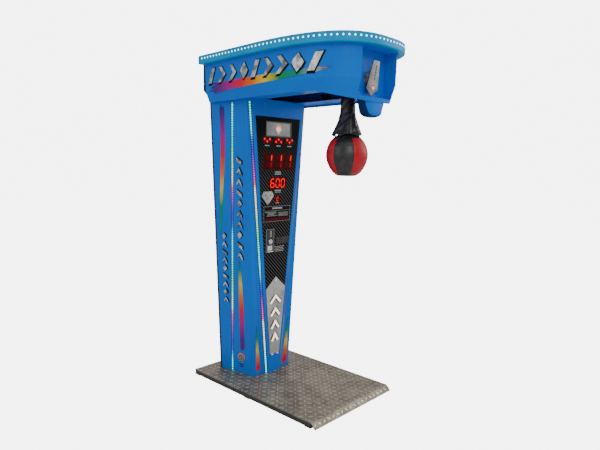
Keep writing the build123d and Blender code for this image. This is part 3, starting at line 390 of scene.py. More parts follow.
cyan, pale_cyan = (0.03, 0.95, 0.95), (0.3, 1.0, 1.0)
green, lime = (0.02, 0.85, 0.3), (0.4, 1.0, 0.25)
cream, pink, magenta = (1.0, 0.9, 0.55), (0.9, 0.06, 0.18), (0.6, 0.0, 0.5)
purple, violet, sea_blue = (0.22, 0.0, 0.55), (0.02, 0.0, 0.55), (0.0, 0.10, 0.6)
side_stops = [
    (0.00, cyan), (0.04, cyan), (0.08, sea_blue), (0.12, violet), (0.16, purple), (0.20, magenta),
    (0.225, pink), (0.25, cream), (0.31, lime), (0.38, green), (0.45, cyan), (0.52, cyan),
    (0.56, sea_blue), (0.60, violet), (0.64, purple), (0.67, magenta), (0.70, pink),
    (0.73, cream), (0.79, lime), (0.86, green), (0.93, cyan), (1.00, pale_cyan),
]
front_stops = [
    (0.00, cyan), (0.07, pale_cyan), (0.14, cream), (0.20, cream), (0.215, pink), (0.26, magenta),
    (0.31, violet), (0.35, sea_blue), (0.41, cyan), (0.47, cyan), (0.52, green), (0.58, lime),
    (0.63, cream), (0.695, cream), (0.715, pink), (0.75, magenta), (0.80, purple), (0.835, violet),
    (0.87, sea_blue), (0.91, cyan), (0.96, cyan), (1.00, green),
]
strip_low, strip_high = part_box("side_led_strip_left")
# The weaker glow of the right front strip's cover and lamps is painted shade.
cover_glow, painted_shade_cover_glow, lamp_glow, painted_shade_lamp_glow = 0.55, 0.08, 3.0, 0.35
side_light, front_light, front_light_painted_shade, side_lamp, front_lamp, front_lamp_painted_shade = (
    rainbow(name, stops, strip_low.z, strip_high.z, strength)
    for name, stops, strength in (
        ("side_light", side_stops, cover_glow), ("front_light", front_stops, cover_glow),
        ("front_light_painted_shade", front_stops, painted_shade_cover_glow), ("side_lamp", side_stops, lamp_glow),
        ("front_lamp", front_stops, lamp_glow), ("front_lamp_painted_shade", front_stops, painted_shade_lamp_glow),
    )
)
print("strip from", round(strip_low.z, 3), "to", round(strip_high.z, 3))

# %% [markdown]
# ## Lit and printed finishes
# The digits and lamps glow red, the door motif glows warm white, and the rim glows cyan from
# inside. Emission strength is kept low enough that the colour stays saturated.

# %% Glowing finishes
red_lit, red_half, red_dim = (
    glow(finish(name, tone, 0.3, bump=0.01, specular=0.06), (1.0, 0.002, 0.008), strength)
    for name, tone, strength in (
        ("red_lit", (0.7, 0.004, 0.01), 0.9), ("red_half", (0.3, 0.002, 0.004), 0.14),
        ("red_dim", (0.025, 0.0005, 0.001), 0.004),
    )
)
motif_light = glow(finish("motif_light", (1.0, 0.93, 0.78), 0.35, bump=0.02), (1.0, 0.86, 0.6), 1.3)
gold_edge = finish("gold_edge", (0.06, 0.04, 0.018), 0.45, metallic=0.3, bump=0.03)
rim_cyan = glow(
    colour_drift(
        finish("rim_cyan", (0.0, 0.25, 0.45), 0.35, grain=260, bump=0.02, spread=0.05, coat=0.02,
               specular=0.06),
        (0.0, 0.215, 0.48), (0.0, 0.26, 0.56), 6.0,
    ), (0.0, 0.30, 0.52), 0.14,
)
rim_dot = glow(finish("rim_dot", (0.6, 1.0, 1.0), 0.3, bump=0.01), (0.5, 1.0, 1.0), 3.0)
led_white = glow(finish("led_white", (0.6, 0.95, 1.0), 0.4, bump=0.01), (0.5, 0.95, 1.0), 1.0)
print_grey = finish("print_grey", (0.30, 0.30, 0.29), 0.45, grain=600, bump=0.03)
print_dark = finish("print_dark", (0.004, 0.004, 0.004), 0.5, grain=600, bump=0.03, specular=0.08)
print_red = finish("print_red", (0.08, 0.002, 0.008), 0.5, grain=600, bump=0.03, specular=0.06)
mark_red = finish("mark_red", (0.6, 0.02, 0.03), 0.35, grain=600, bump=0.02)
mark_white = finish("mark_white", (0.8, 0.8, 0.78), 0.35, grain=600, bump=0.02)
mark_orange = finish("mark_orange", (0.85, 0.16, 0.03), 0.4, grain=600, bump=0.02)
print(len(bpy.data.materials), "finishes in all")

# %% [markdown]
# ## Dressing the measured nodes
# Each node that keeps its own shape takes one of these finishes, by the slot the record gives.
# The few that differ from their slot, such as the light strips, are named one by one.

# %% Finishes on the nodes
by_slot = {
    "blue_gloss": blue_gloss, "black_board": black_board, "black_paint": black_paint,
    "tread_steel": tread_steel, "rubber": rubber, "frame_steel": frame_steel,
    "rim_cyan": rim_cyan, "led_light": led_white, "channel_black": channel_black,
    "panel_black": panel_black, "screen": screen, "red_display": dark_display,
    "silver": silver, "black_metal": black_metal, "chrome": chrome, "steel": steel,
    "leather": rubber, "motif_light": motif_light, "board_green": board_green, "zinc": zinc,
}
# The right front strip's cover takes the weaker glow, which is painted shade.
special = {
    "side_led_strip_left": side_light, "side_led_strip_right": side_light,
    "front_led_strip_left": front_light, "front_led_strip_right": front_light_painted_shade,
    "head_pan": blue_gloss, "cash_hinge": blue_gloss, "emblem_boss": boss_silver,
    "emblem_plate": dark_silver,
}
for part in frame["record"]["subparts"]:
    node = nodes[part["node"]]
    node.data.materials.clear()
    node.data.materials.append(special.get(part["node"], by_slot[part["material_slot"]]))

# %% [markdown]
# ## Places on the machine
# The front panel leans out a little, the column's corners spread with height, and the head's
# plan is two flared straight sides and a superellipse nose. Three place functions turn simple
# coordinates into points on those walls, so that a decoration can be drawn flat.

# %% Place functions
base_top, column_rise, front_lean = 0.037, 1.947, 0.0375
lean = math.atan(front_lean / column_rise)
panel_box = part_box("display_panel")
panel_foot_y = panel_box[1].y + 0.6685 * math.sin(lean)
panel_skin = 0.004


def on_panel(x, up, out):
    """Front panel: x across, up along the lean, out from the face of the panel."""
    out = out + panel_skin
    y = panel_foot_y - up * math.sin(lean) - out * math.cos(lean)
    return np.stack([x + 0 * y, y, up * math.cos(lean) - out * math.sin(lean)], axis=-1)


board_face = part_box("back_board")[0].y
front_low_y = panel_foot_y - base_top * math.tan(lean)
low_corners = np.array([
    (0.233, board_face), (0.205, 0.4805), (0.184, 0.290), (0.158, 0.276), (0.108, 0.283),
    (0.046, front_low_y),
])
high_corners = np.array([
    (0.313, board_face), (0.285, 0.3745), (0.284, 0.2435), (0.281, 0.2355), (0.277, 0.2315),
    (0.250, 0.2175),
])
column_spread = high_corners - low_corners


def on_column(face, hand):
    """Place function of one side wall of the column: share runs from its rear to its front corner.

    A corner is a straight line from its place on the base to its place under the head.
    """
    def place(share, z, out):
        rise = ((z - base_top) / column_rise)[..., None]
        rear = low_corners[face] + column_spread[face] * rise
        front = low_corners[face + 1] + column_spread[face + 1] * rise
        edge = front - rear
        normal = np.stack([-edge[..., 1], edge[..., 0]], axis=-1)
        normal = normal / np.linalg.norm(normal, axis=-1, keepdims=True)
        flat = rear + edge * share[..., None] + normal * out[..., None]
        return np.stack([hand * flat[..., 0], flat[..., 1], z], axis=-1)
    return place


nose_y, corner_y, back_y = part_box("rim_lip")[0].y, 0.0075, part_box("rim_lip")[1].y
nose_power, rim_half = 2.8, 0.425
flare = 0.017 / (board_face - corner_y)
head_foot, head_rise = 2.040, 0.232


def half_width(y, inset):
    """Half-width of the head's outline at y.

    The nose is a superellipse, w (1 - (dy / L)^p)^(1 / p), and the sides behind it close in.
    """
    ahead = np.clip((corner_y - y) / (corner_y - nose_y - inset), 0, 1)
    half = (rim_half - inset) * (1 - ahead ** nose_power) ** (1 / nose_power)
    return half - flare * np.maximum(y - corner_y, 0)


def on_head(hand):
    """Place function of the head's side: along -y, z, and out of the wall."""
    def place(along, z, out):
        inset = 0.048 - 0.006 * (z - head_foot) / head_rise
        return np.stack([hand * (half_width(-along, inset) + out), -along, z], axis=-1)
    return place


print("panel foot at y", round(panel_foot_y, 4))

# %% [markdown]
# ## The lit rim
# The rim is a cyan lip with soft edges. A bevel can't soften loose triangles, so the lip is swept
# again from numbers: a closed profile of (inset, height) points is carried round the outline.

# %% Rim lip
def outline(inset, nose_steps=96, side_steps=14):
    """Closed plan outline at one inset: right side, nose by equal angles, left side, back."""
    side_y = np.linspace(back_y - inset, corner_y, side_steps, endpoint=False)
    side_x = half_width(side_y, inset)
    angle = np.linspace(0, math.pi, nose_steps)
    cosine, sine = np.cos(angle), np.sin(angle)
    nose_x = (rim_half - inset) * np.sign(cosine) * np.abs(cosine) ** (2 / nose_power)
    nose_edge = corner_y - (corner_y - nose_y - inset) * np.abs(sine) ** (2 / nose_power)
    back_x = np.linspace(-side_x[0], side_x[0], 10)[1:-1]
    x = np.concatenate([side_x, nose_x, -side_x[::-1], back_x])
    y = np.concatenate([side_y, nose_edge, side_y[::-1], np.full(8, back_y - inset)])
    return np.stack([x, y], axis=-1)


rim_low, rim_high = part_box("rim_lip")[0].z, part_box("rim_lip")[1].z
rim_edge, rim_play, rim_overhang = 0.006, 0.0009, 0.042
quarter = np.linspace(0, math.pi / 2, 5)
closing_in, rising = rim_edge * (1 - np.sin(quarter)), rim_edge * (1 - np.cos(quarter))
rim_profile = np.concatenate([
    [[rim_overhang, rim_low]],
    np.stack([rim_play + closing_in, rim_low + rising], axis=-1),
    [[rim_play, rim_low + 0.010], [rim_play, rim_high - 0.010]],
    np.stack([rim_play + rising, rim_high - closing_in], axis=-1),
    [[0.010, rim_high - 0.002], [0.010, rim_high - 0.020], [rim_overhang, rim_low + 0.004]],
])
rim_grid = np.stack([
    np.concatenate([outline(inset), np.full((len(outline(inset)), 1), z)], axis=1)
    for inset, z in rim_profile
])
rim = surface(
    "lit_rim", rim_grid, rim_cyan, "machine", "rim_cyan", wrap_rows=True, wrap_columns=True,
)
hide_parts("rim_lip")
print("rim length", round(float(np.linalg.norm(np.diff(outline(0), axis=0), axis=1).sum()), 2), "m")

# %% [markdown]
# ## Dots of light along the rim
# The lamps sit at a steady pitch. Equal steps of the outline's own angle would bunch them up,
# so the outline's running length is worked out first, and the places are read off it.

# %% Rim dots
nose_steps, side_steps = 400, 60
path = outline(0.0008, nose_steps, side_steps)[:nose_steps + 2 * side_steps]
running = np.concatenate([[0], np.cumsum(np.linalg.norm(np.diff(path, axis=0), axis=1))])
dot_pitch = 0.033
steps = np.arange(dot_pitch, running[-1] - dot_pitch / 2, dot_pitch)
dot_x, dot_y = np.interp(steps, running, path[:, 0]), np.interp(steps, running, path[:, 1])
ahead_x = np.interp(steps + 0.002, running, path[:, 0]) - dot_x
ahead_y = np.interp(steps + 0.002, running, path[:, 1]) - dot_y
size = np.hypot(ahead_x, ahead_y)
tangent = np.stack([ahead_x / size, ahead_y / size], axis=-1)
outward = np.stack([-tangent[:, 1], tangent[:, 0]], axis=-1)
outward *= np.sign(outward[:, :1] * dot_x[:, None] + outward[:, 1:] * (dot_y[:, None] - 0.2))
dot_z = rim_high - 0.4 * (rim_high - rim_low)


def around_rim(across, up, out):
    """Place function of the rim's dots: each row of the arrays belongs to one dot."""
    xy = (
        np.stack([dot_x, dot_y], axis=-1)[:, None, None]
        + tangent[:, None, None] * across[..., None] + outward[:, None, None] * out[..., None]
    )
    return np.concatenate([xy, (up + dot_z)[..., None]], axis=-1)


dots = regular(np.zeros((len(steps), 2)), 0.0060, 10)
studs("rim_dots", dots, around_rim, -0.001, 0.0006, rim_dot, "machine", "led_light", taper=0.8)
print(len(steps), "dots")

# %% [markdown]
# ## Lamps in the column's light strips
# Every strip has about sixty lamps to the metre. They follow the strip from its lower to its
# upper end, which are read from the measured node's own corners. A side strip faces sideways and
# a front strip faces the player, and both directions are squared to the strip's own length.

# %% Strip lamps
def along_strip(node):
    """The four lowest and the four highest corners of a strip."""
    mesh = nodes[node].data
    points = np.empty(len(mesh.vertices) * 3, np.float32)
    mesh.vertices.foreach_get("co", points)
    points = np.unique(np.round(points.reshape(-1, 3), 5), axis=0)
    order = np.argsort(points[:, 2])
    return points[order[:4]], points[order[-4:]]


lamp_pitch, lamp_width, lamp_tall, cover_skin = 0.0167, 0.0095, 0.0090, 0.00125
facings = {"side": (1.0, -0.22, 0.0), "front": (0.42, -0.91, -0.02)}
# The right front strip's lamps take the weaker glow, which is painted shade.
for kind, hand, sign, lamp in (
    ("side", "left", -1, side_lamp), ("side", "right", 1, side_lamp),
    ("front", "left", -1, front_lamp), ("front", "right", 1, front_lamp_painted_shade),
):
    low, high = along_strip(f"{kind}_led_strip_{hand}")
    start, end = low.mean(axis=0), high.mean(axis=0)
    along = (end - start) / np.linalg.norm(end - start)
    face = np.array(facings[kind]) * (sign, 1, 1)
    face -= along * (face @ along)
    face /= np.linalg.norm(face)
    across = np.cross(along, face)
    count = int(np.linalg.norm(end - start) / lamp_pitch)

    def on_strip(x, up, out):
        """Place function of this strip: across it, along it, out of it."""
        return (start + across * x[..., None] + along * up[..., None]
                + face * (out + cover_skin)[..., None])

    spots = bars([(0.0, (k + 0.5) * lamp_pitch, lamp_width, lamp_tall) for k in range(count)])
    studs(f"{kind}_lamps_{hand}", spots, on_strip, -0.001, 0.0004, lamp, "machine", "led_light",
          0.85)
print(count, "lamps in a front strip")

# %% [markdown]
# ## Tread pattern
# Tread plate carries raised lenses in alternating directions. Each lens is an eight-sided
# outline with a smaller top, so hundreds of them cost only a few thousand faces. The sloping
# front edge carries one more row, bent onto the slope by its own place function.

# %% Tread lenses
tread_low, tread_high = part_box("tread_plate")
pitch = 0.042
columns = np.arange(tread_low.x + 0.018, tread_high.x - 0.014, pitch)
rows = np.arange(tread_low.y + 0.050, tread_high.y - 0.014, pitch)
grid_x, grid_y = np.meshgrid(columns, rows)
lens = np.stack([
    0.0190 * np.array([1, 0.62, 0, -0.62, -1, -0.62, 0, 0.62]),
    0.0058 * np.array([0, 0.72, 1, 0.72, 0, -0.72, -1, -0.72]),
], axis=-1)


def turned(shape, x, y, turn):
    """One outline at many places: each copy is turned by its own angle and moved to (x, y)."""
    return np.stack([
        x + shape[:, 0] * np.cos(turn) - shape[:, 1] * np.sin(turn),
        y + shape[:, 0] * np.sin(turn) + shape[:, 1] * np.cos(turn),
    ], axis=-1)


order = np.arange(len(rows))[:, None] + np.arange(len(columns))[None]
turn = np.where(order % 2, 1, -1).reshape(-1, 1) * math.pi / 4
lenses = turned(lens, grid_x.reshape(-1, 1), grid_y.reshape(-1, 1), turn)


def on_tread(x, y, out):
    """Place function of the tread plate's top."""
    return np.stack([x, y, tread_high.z + out], axis=-1)


studs("tread_lenses", lenses, on_tread, -0.0005, 0.0020, tread_bright, "machine", "tread_steel",
      0.60)
slope_run, slope_drop, slope_middle = 0.034, 0.033, 0.023
slope_turn = math.atan2(slope_drop, slope_run)


def on_slope(x, down, out):
    """Place function of the sloping nosing: down the slope from its upper edge, out of its face."""
    return np.stack([
        x, tread_low.y + slope_run - down * math.cos(slope_turn) - out * math.sin(slope_turn),
        tread_high.z - down * math.sin(slope_turn) + out * math.cos(slope_turn),
    ], axis=-1)


slope_turns = np.where(np.arange(len(columns)) % 2, 1, -1)[:, None] * math.pi / 4
slope_lenses = turned(lens, columns[:, None], slope_middle, slope_turns)
studs("nosing_lenses", slope_lenses, on_slope, -0.0005, 0.0014, tread_bright, "machine",
      "tread_steel", 0.60)
print(len(lenses), "lenses")

# %% [markdown]
# ## Brush strokes
# The column and the head carry painted strokes with frayed ends. A stroke is several strands
# side by side, each with its own start and end, which gives the torn look of a dry brush. The
# colour runs along the stroke, so it comes from the stroke's own UV map.

# %% Stroke helper
rng = np.random.default_rng(7)


def stroke(name, path, width, place, stops, strands=9, fray=0.10, lift=0.0004):
    """Strands along path(s) = (a, b), side by side across width(s), for shares s of the length.

    Each strand starts and ends at its own random share, and eases to a point at both ends.
    """
    material = rainbow(f"{name}_paint", stops, 0.0, 1.0, 0.0, along_uv=True)
    points, faces, uv = [], [], []
    steps = 40
    for strand in range(strands):
        first, last = rng.uniform(0, fray), 1 - rng.uniform(0, fray)
        s = np.linspace(first, last, steps)
        a, b = path(s)
        run_a, run_b = np.gradient(a), np.gradient(b)
        size = np.hypot(run_a, run_b)
        side = np.stack([-run_b / size, run_a / size], axis=-1)
        ease = np.clip(np.minimum(s - first, last - s) / 0.02, 0, 1) ** 0.6
        slot_width = width(s) / strands
        middle = (strand + 0.5 - strands / 2) * slot_width
        reach = 0.53 * slot_width * ease
        edges = [middle - reach, middle + reach]
        grid = np.stack([
            place(a + side[:, 0] * e, b + side[:, 1] * e, np.full(steps, lift + 0.00002 * strand))
            for e in edges
        ])
        offset = 2 * steps * strand
        points.append(grid.reshape(-1, 3))
        faces.append(grid_faces(2, steps, False, False) + offset)
        uv.append(np.tile(np.stack([s, np.full(steps, strand / strands)], axis=-1), (2, 1)))
    piece = new_piece(
        name, np.concatenate(points), np.concatenate(faces), material, "machine", "blue_gloss",
    )
    layer = piece.data.uv_layers.new(name="along")
    index = np.empty(len(piece.data.loops), np.int32)
    piece.data.loops.foreach_get("vertex_index", index)
    layer.data.foreach_set("uv", np.concatenate(uv)[index].ravel())
    thick = piece.modifiers.new("paint_thickness", "SOLIDIFY")
    thick.thickness = 0.0002
    thick.offset = 0
    return piece


navy, plum, deep_magenta = (0.015, 0.008, 0.14), (0.10, 0.01, 0.22), (0.42, 0.01, 0.22)
red, orange, yellow = (0.75, 0.01, 0.03), (0.85, 0.16, 0.01), (0.85, 0.6, 0.02)
leaf, teal = (0.01, 0.28, 0.06), (0.0, 0.25, 0.22)
print("stroke helper ready")

# %% [markdown]
# ## Strokes on the head and the column
# The long stroke on the head starts wide and dark at the back and thins into a grey tip. The
# column has one high stroke behind the light strip, one low stroke in front of it, and short
# ones at the foot of the front walls. Both sides of the machine carry the same set.

# %% Strokes
def metres_on(face, sign):
    """Place function of a side wall with the first coordinate in metres from the wall's middle."""
    place = on_column(face, sign)

    def measured(across, z, out):
        rise = ((z - base_top) / column_rise)[..., None]
        edge = low_corners[face + 1] - low_corners[face]
        edge = edge + (column_spread[face + 1] - column_spread[face]) * rise
        return place(0.5 + across / np.linalg.norm(edge, axis=-1), z, out)
    return measured


for hand, sign in (("left", -1), ("right", 1)):
    stroke(
        f"head_stroke_{hand}",
        lambda s: (-0.530 + 1.060 * s, 2.056 + 0.010 * np.sin(3.1 * s) + 0.042 * s ** 5),
        lambda s: np.interp(s, [0, 0.06, 0.2, 0.45, 0.6, 0.8, 1.0],
                            [0.072, 0.068, 0.056, 0.050, 0.044, 0.034, 0.018]),
        on_head(sign),
        [(0.0, navy), (0.10, plum), (0.22, deep_magenta), (0.33, red), (0.44, orange),
         (0.54, yellow), (0.66, leaf), (0.80, teal), (0.90, (0.3, 0.36, 0.38)),
         (1.0, (0.05, 0.06, 0.07))], 11, 0.07, 0.0022,
    )
    stroke(
        f"high_stroke_{hand}",
        lambda s: (-0.002 + 0.006 * np.sin(6.0 * s) - 0.030 * s * s, 1.965 - 0.93 * s),
        lambda s: np.interp(s, [0, 0.1, 0.4, 0.7, 1.0], [0.046, 0.044, 0.038, 0.026, 0.012]),
        metres_on(0, sign),
        [(0.0, navy), (0.10, plum), (0.24, deep_magenta), (0.38, red), (0.52, orange),
         (0.62, yellow), (0.76, leaf), (1.0, teal)], 5, 0.035,
    )
    stroke(
        f"low_stroke_{hand}",
        lambda s: (-0.014 + 0.024 * s ** 0.7, 0.885 - 0.68 * s),
        lambda s: np.interp(s, [0, 0.2, 0.5, 0.9, 1.0], [0.006, 0.030, 0.044, 0.044, 0.042]),
        metres_on(1, sign),
        [(0.0, (0.03, 0.12, 0.05)), (0.12, leaf), (0.26, yellow), (0.40, orange), (0.54, red),
         (0.70, deep_magenta), (0.86, plum), (1.0, plum)], 5, 0.03,
    )
    stroke(
        f"foot_stroke_{hand}",
        lambda s: (0.002 + 0.002 * s, 0.420 - 0.378 * s),
        lambda s: np.interp(s, [0, 0.3, 0.7, 1.0], [0.003, 0.020, 0.036, 0.044]),
        metres_on(3, sign),
        [(0.0, (0.02, 0.10, 0.06)), (0.30, leaf), (0.52, yellow), (0.68, orange), (0.85, red),
         (1.0, red)], 4, 0.08,
    )
print("strokes on both sides")

# %% [markdown]
# ## Chrome motifs
# Rows of slanted chrome shapes with a dark shadow run along the head and the column. They are
# plain chevrons, bars and diamonds, raised like cut vinyl, in a brushed chrome finish.

# %% Motif rows
chevron = np.array([(0.0, 0.0), (0.34, 0.0), (0.92, 0.5), (0.34, 1.0), (0.0, 1.0), (0.52, 0.5)])
slant_bar = np.array([
    (0.02, 0.0), (0.46, 0.0), (0.62, 0.42), (0.84, 1.0), (0.40, 1.0), (0.24, 0.58),
])
diamond = np.array([(0.46, 0.0), (0.78, 0.26), (0.92, 0.5), (0.46, 1.0), (0.14, 0.74), (0.0, 0.5)])
vinyl_chrome = colour_drift(
    finish("vinyl_chrome", (0.4, 0.4, 0.4), 0.3, metallic=0.75, grain=40, bump=0.03),
    (0.16, 0.17, 0.18), (0.62, 0.61, 0.58), 22.0, 0.40, 0.60,
)


def motif_row(name, start, step, sizes, place, kinds, slant, shadow=(0.004, -0.006)):
    """A row of shapes from start, one each step, over a shadow grown by a tenth and shifted.

    A corner is its unit place times the size, sheared along the row by slant times its height.
    """
    sizes = np.asarray(sizes, float)
    middle = np.arange(len(kinds))[:, None] * np.asarray(step)[None] + np.asarray(start)[None]
    unit = np.stack([{"v": chevron, "b": slant_bar, "d": diamond}[k] for k in kinds]) - 0.5
    step = np.asarray(step) / np.linalg.norm(step)
    up = np.array([-step[1], step[0]])
    sheared = unit[..., :1] * sizes[:, None, :1] + unit[..., 1:] * sizes[:, None, 1:] * slant
    flat = sheared * step + unit[..., 1:] * sizes[:, None, 1:] * up
    shapes = middle[:, None] + flat
    grown = middle[:, None] + flat * 1.10 + (step * shadow[0] + up * shadow[1])
    studs(f"{name}_shadow", grown, place, 0.0002, 0.0030, print_dark, "machine", "channel_black")
    studs(name, shapes, place, 0.0006, 0.0042, vinyl_chrome, "machine", "chrome", 0.90)


for hand, sign in (("left", -1), ("right", 1)):
    sizes = np.stack([np.linspace(0.080, 0.104, 9), np.linspace(0.104, 0.112, 9)], axis=-1)
    motif_row(f"head_motif_{hand}", (-0.482, 2.140), (0.1135, -0.0012), sizes, on_head(sign),
              "bvvdbvvdb", 0.15)
    tall = np.tile([0.060, 0.052], (10, 1))
    motif_row(f"column_motif_{hand}", (-0.004, 0.915), (0.0002, 0.0735), tall, metres_on(1, sign),
              "vbdvvdbvvb", 0.12)
    tall = np.tile([0.048, 0.040], (9, 1))
    motif_row(f"rear_motif_{hand}", (0.004, 0.575), (-0.0008, 0.0585), tall, metres_on(0, sign),
              "vdvbdvbvd", 0.12)
print("motif rows done")

# %% [markdown]
# ## A round badge low on each side
# A plain badge of rings stands at the foot of the side wall: an orange crescent over a grey disc
# with three short lines under it. Rings are made of many short quads round a centre.

# %% Round badges
def ring(centre, inner, outer, start=0.0, stop=2 * math.pi, steps=28):
    """Quads between two radii from one angle to another."""
    angle = np.linspace(start, stop, steps + 1)
    unit = np.stack([np.cos(angle), np.sin(angle)], axis=-1)
    corners = [unit[:-1] * inner, unit[:-1] * outer, unit[1:] * outer, unit[1:] * inner]
    return np.stack(corners, axis=1) + np.asarray(centre, float)


for hand, sign in (("left", -1), ("right", 1)):
    wall = metres_on(1, sign)
    spot = np.array([-0.004, 0.150])
    star = [(0.010, 0.018), (0.0, 0.026), (-0.010, 0.018)]
    lines = [(0, 0.044), (1, 0.030), (2, 0.038)]
    for piece, shapes, low, high, material, slot in (
        ("disc", regular([spot], 0.030, 28), 0.0002, 0.0008, print_grey, "silver"),
        ("ring", ring(spot, 0.021, 0.026), 0.0006, 0.0012, print_dark, "channel_black"),
        ("crescent", ring(spot + [0, 0.004], 0.024, 0.036, 0.1, math.pi - 0.1), 0.0008, 0.0014,
         mark_orange, "motif_light"),
        ("star", bars([(spot[0], spot[1] + k, w, 0.005) for k, w in star]), 0.0006, 0.0012,
         print_dark, "channel_black"),
        ("lines", bars([(spot[0], spot[1] - 0.042 - 0.010 * k, w, 0.004) for k, w in lines]),
         0.0002, 0.0008, print_dark, "channel_black"),
    ):
        studs(f"badge_{piece}_{hand}", shapes, wall, low, high, material, "machine", slot)
print("badges done")

# %% [markdown]
# ## Seven-segment digits
# A digit is seven hexagonal bars. The unlit bars still show dark red behind the tinted window,
# so every score digit is drawn whole, and the lit bars are laid over it in a brighter finish.
# Nearly all that follows sits on the front panel, so a short helper fills in that place.

# %% Digits
def digit(x, up, width, tall, lit, thickness, slant=0.09):
    """Segments a to g of one digit about (x, up); lit is the string of those wanted.

    A segment is a hexagon, and every point leans sideways by slant times its height.
    """
    w, h, t = width / 2, tall / 2, thickness / 2
    gap = t * 0.25
    level = np.array([
        (-w + gap, 0), (-w + t + gap, t), (w - t - gap, t), (w - gap, 0), (w - t - gap, -t),
        (-w + t + gap, -t),
    ])
    post = np.array([
        (0, gap), (t, t + gap), (t, h - t - gap), (0, h - gap), (-t, h - t - gap), (-t, t + gap),
    ])
    shapes = {
        "a": level + (0, h), "g": level, "d": level - (0, h),
        "b": post + (w, 0), "f": post + (-w, 0), "c": post + (w, -h), "e": post + (-w, -h),
    }
    chosen = np.stack([shapes[k] for k in lit])
    chosen[..., 0] += chosen[..., 1] * slant
    return chosen + (x, up)


def digits(places, up, width, tall, lit, thickness):
    """Several digits in a row, one at each place across, each with its own lit segments."""
    return np.concatenate([
        digit(x, up, width, tall, segments, thickness) for x, segments in zip(places, lit)
    ])


def panel_studs(name, outlines, low, high, material, slot, taper=1.0):
    """Studs on the front panel, which ride on the machine."""
    return studs(name, outlines, on_panel, low, high, material, "machine", slot, taper)


score_place = ((-0.094, 0.0, 0.094), 1.5745, 0.058, 0.094)
record_place = ((-0.050, 0.0, 0.050), 1.422, 0.032, 0.058)
for name, shapes, low, high, material in (
    ("score_dim", digits(*score_place, ["abcdefg"] * 3, 0.012), -0.0012, -0.0004, red_dim),
    ("score_top", digits(*score_place, "bbb", 0.0115), -0.0006, 0.0002, red_lit),
    ("score_low", digits(*score_place, "ccc", 0.0115), -0.0006, 0.0001, red_half),
    ("record_digits", digits(*record_place, ("acdefg", "abcdef", "abcdef"), 0.0085), -0.0008,
     0.0002, red_lit),
    ("credit_digit", digit(0.0, 1.309, 0.015, 0.026, "abcdef", 0.0045), -0.0008, 0.0002, red_lit),
):
    panel_studs(name, shapes, low, high, material, "red_display")
print("digits done")

# %% [markdown]
# ## Lamps for each player
# Above the score there are three small groups of three round lamps, set in a zigzag. Each lamp
# is a low stud with a narrower top, and short pale bars stand where a caption would be.

# %% Player lamps
lamp_up, lamp_step, zigzag_lift, group_x = 1.717, 0.024, 0.008, (-0.108, 0.0, 0.108)
spots = np.array([
    (middle + side * lamp_step, lamp_up + first * lift)
    for middle, first in zip(group_x, (1, -1, 1))
    for side, lift in zip((-1, 0, 1), (zigzag_lift, -zigzag_lift, zigzag_lift))
])
panel_studs("lamp_lenses", regular(spots, 0.0100, 14), 0.0008, 0.0042, red_lit, "red_display", 0.62)
lamp_rings = np.concatenate([ring(spot, 0.0100, 0.0122, steps=14) for spot in spots])
panel_studs("lamp_rings", lamp_rings, 0.0008, 0.0018, red_dim, "red_display")
captions = [(x, 1.681, 0.042, 0.007) for x in group_x]
captions += [(0.0, 1.500, 0.058, 0.008), (0.0, 1.486, 0.058, 0.008), (0.002, 1.371, 0.060, 0.008),
             (0.002, 1.359, 0.060, 0.005), (0.0, 1.2835, 0.030, 0.006)]
panel_studs("captions", bars(captions), 0.0001, 0.0005, print_grey, "silver")
print(len(spots), "lamps")

# %% [markdown]
# ## The screen
# The screen shows a plain orange and white roundel on grey. It glows a little, so its finish is a
# drifting grey with a weak emission, and the roundel is raised a hair above it.

# %% Screen picture
def frame_bars(x, up, width, tall, line):
    """Four bars that outline a rectangle."""
    return [(x, up + tall / 2, width, line), (x, up - tall / 2, width, line),
            (x - width / 2, up, line, tall + line), (x + width / 2, up, line, tall + line)]


screen_face = glow(
    colour_drift(finish("screen_face", (0.2, 0.2, 0.2), 0.25, grain=900, bump=0.01),
                 (0.085, 0.088, 0.09), (0.24, 0.245, 0.25), 7.0),
    (0.5, 0.52, 0.54), 0.12,
)
nodes["lcd_screen"].data.materials.clear()
nodes["lcd_screen"].data.materials.append(screen_face)
screen_orange = glow(
    finish("screen_orange", (0.9, 0.2, 0.04), 0.3, bump=0.01), (1.0, 0.25, 0.05), 0.6,
)
screen_white = glow(
    finish("screen_white", (0.9, 0.8, 0.7), 0.3, bump=0.01), (1.0, 0.85, 0.7), 0.6,
)
screen_spot = np.array([0.0, 1.797])
panel_studs("screen_ring", ring(screen_spot, 0.020, 0.029, -0.4, math.pi + 0.4), -0.0012, -0.0004,
            screen_orange, "screen")
panel_studs("screen_disc", regular([screen_spot - (0, 0.004)], 0.019, 24), -0.0012, -0.0005,
            screen_white, "screen")
screen_bars = [(0.0, 1.765, 0.034, 0.006), (0.0, 1.793, 0.020, 0.005), (0.0, 1.783, 0.012, 0.004)]
panel_studs("screen_bars", bars(screen_bars), -0.0006, -0.0002, screen_orange, "screen")
print("screen done")

# %% [markdown]
# ## The info box
# Below the digits is an outlined box with rows of grey bars and a dark red band, which stand
# where small print would be. Rows that repeat come from one formula with a small change of length
# from row to row.

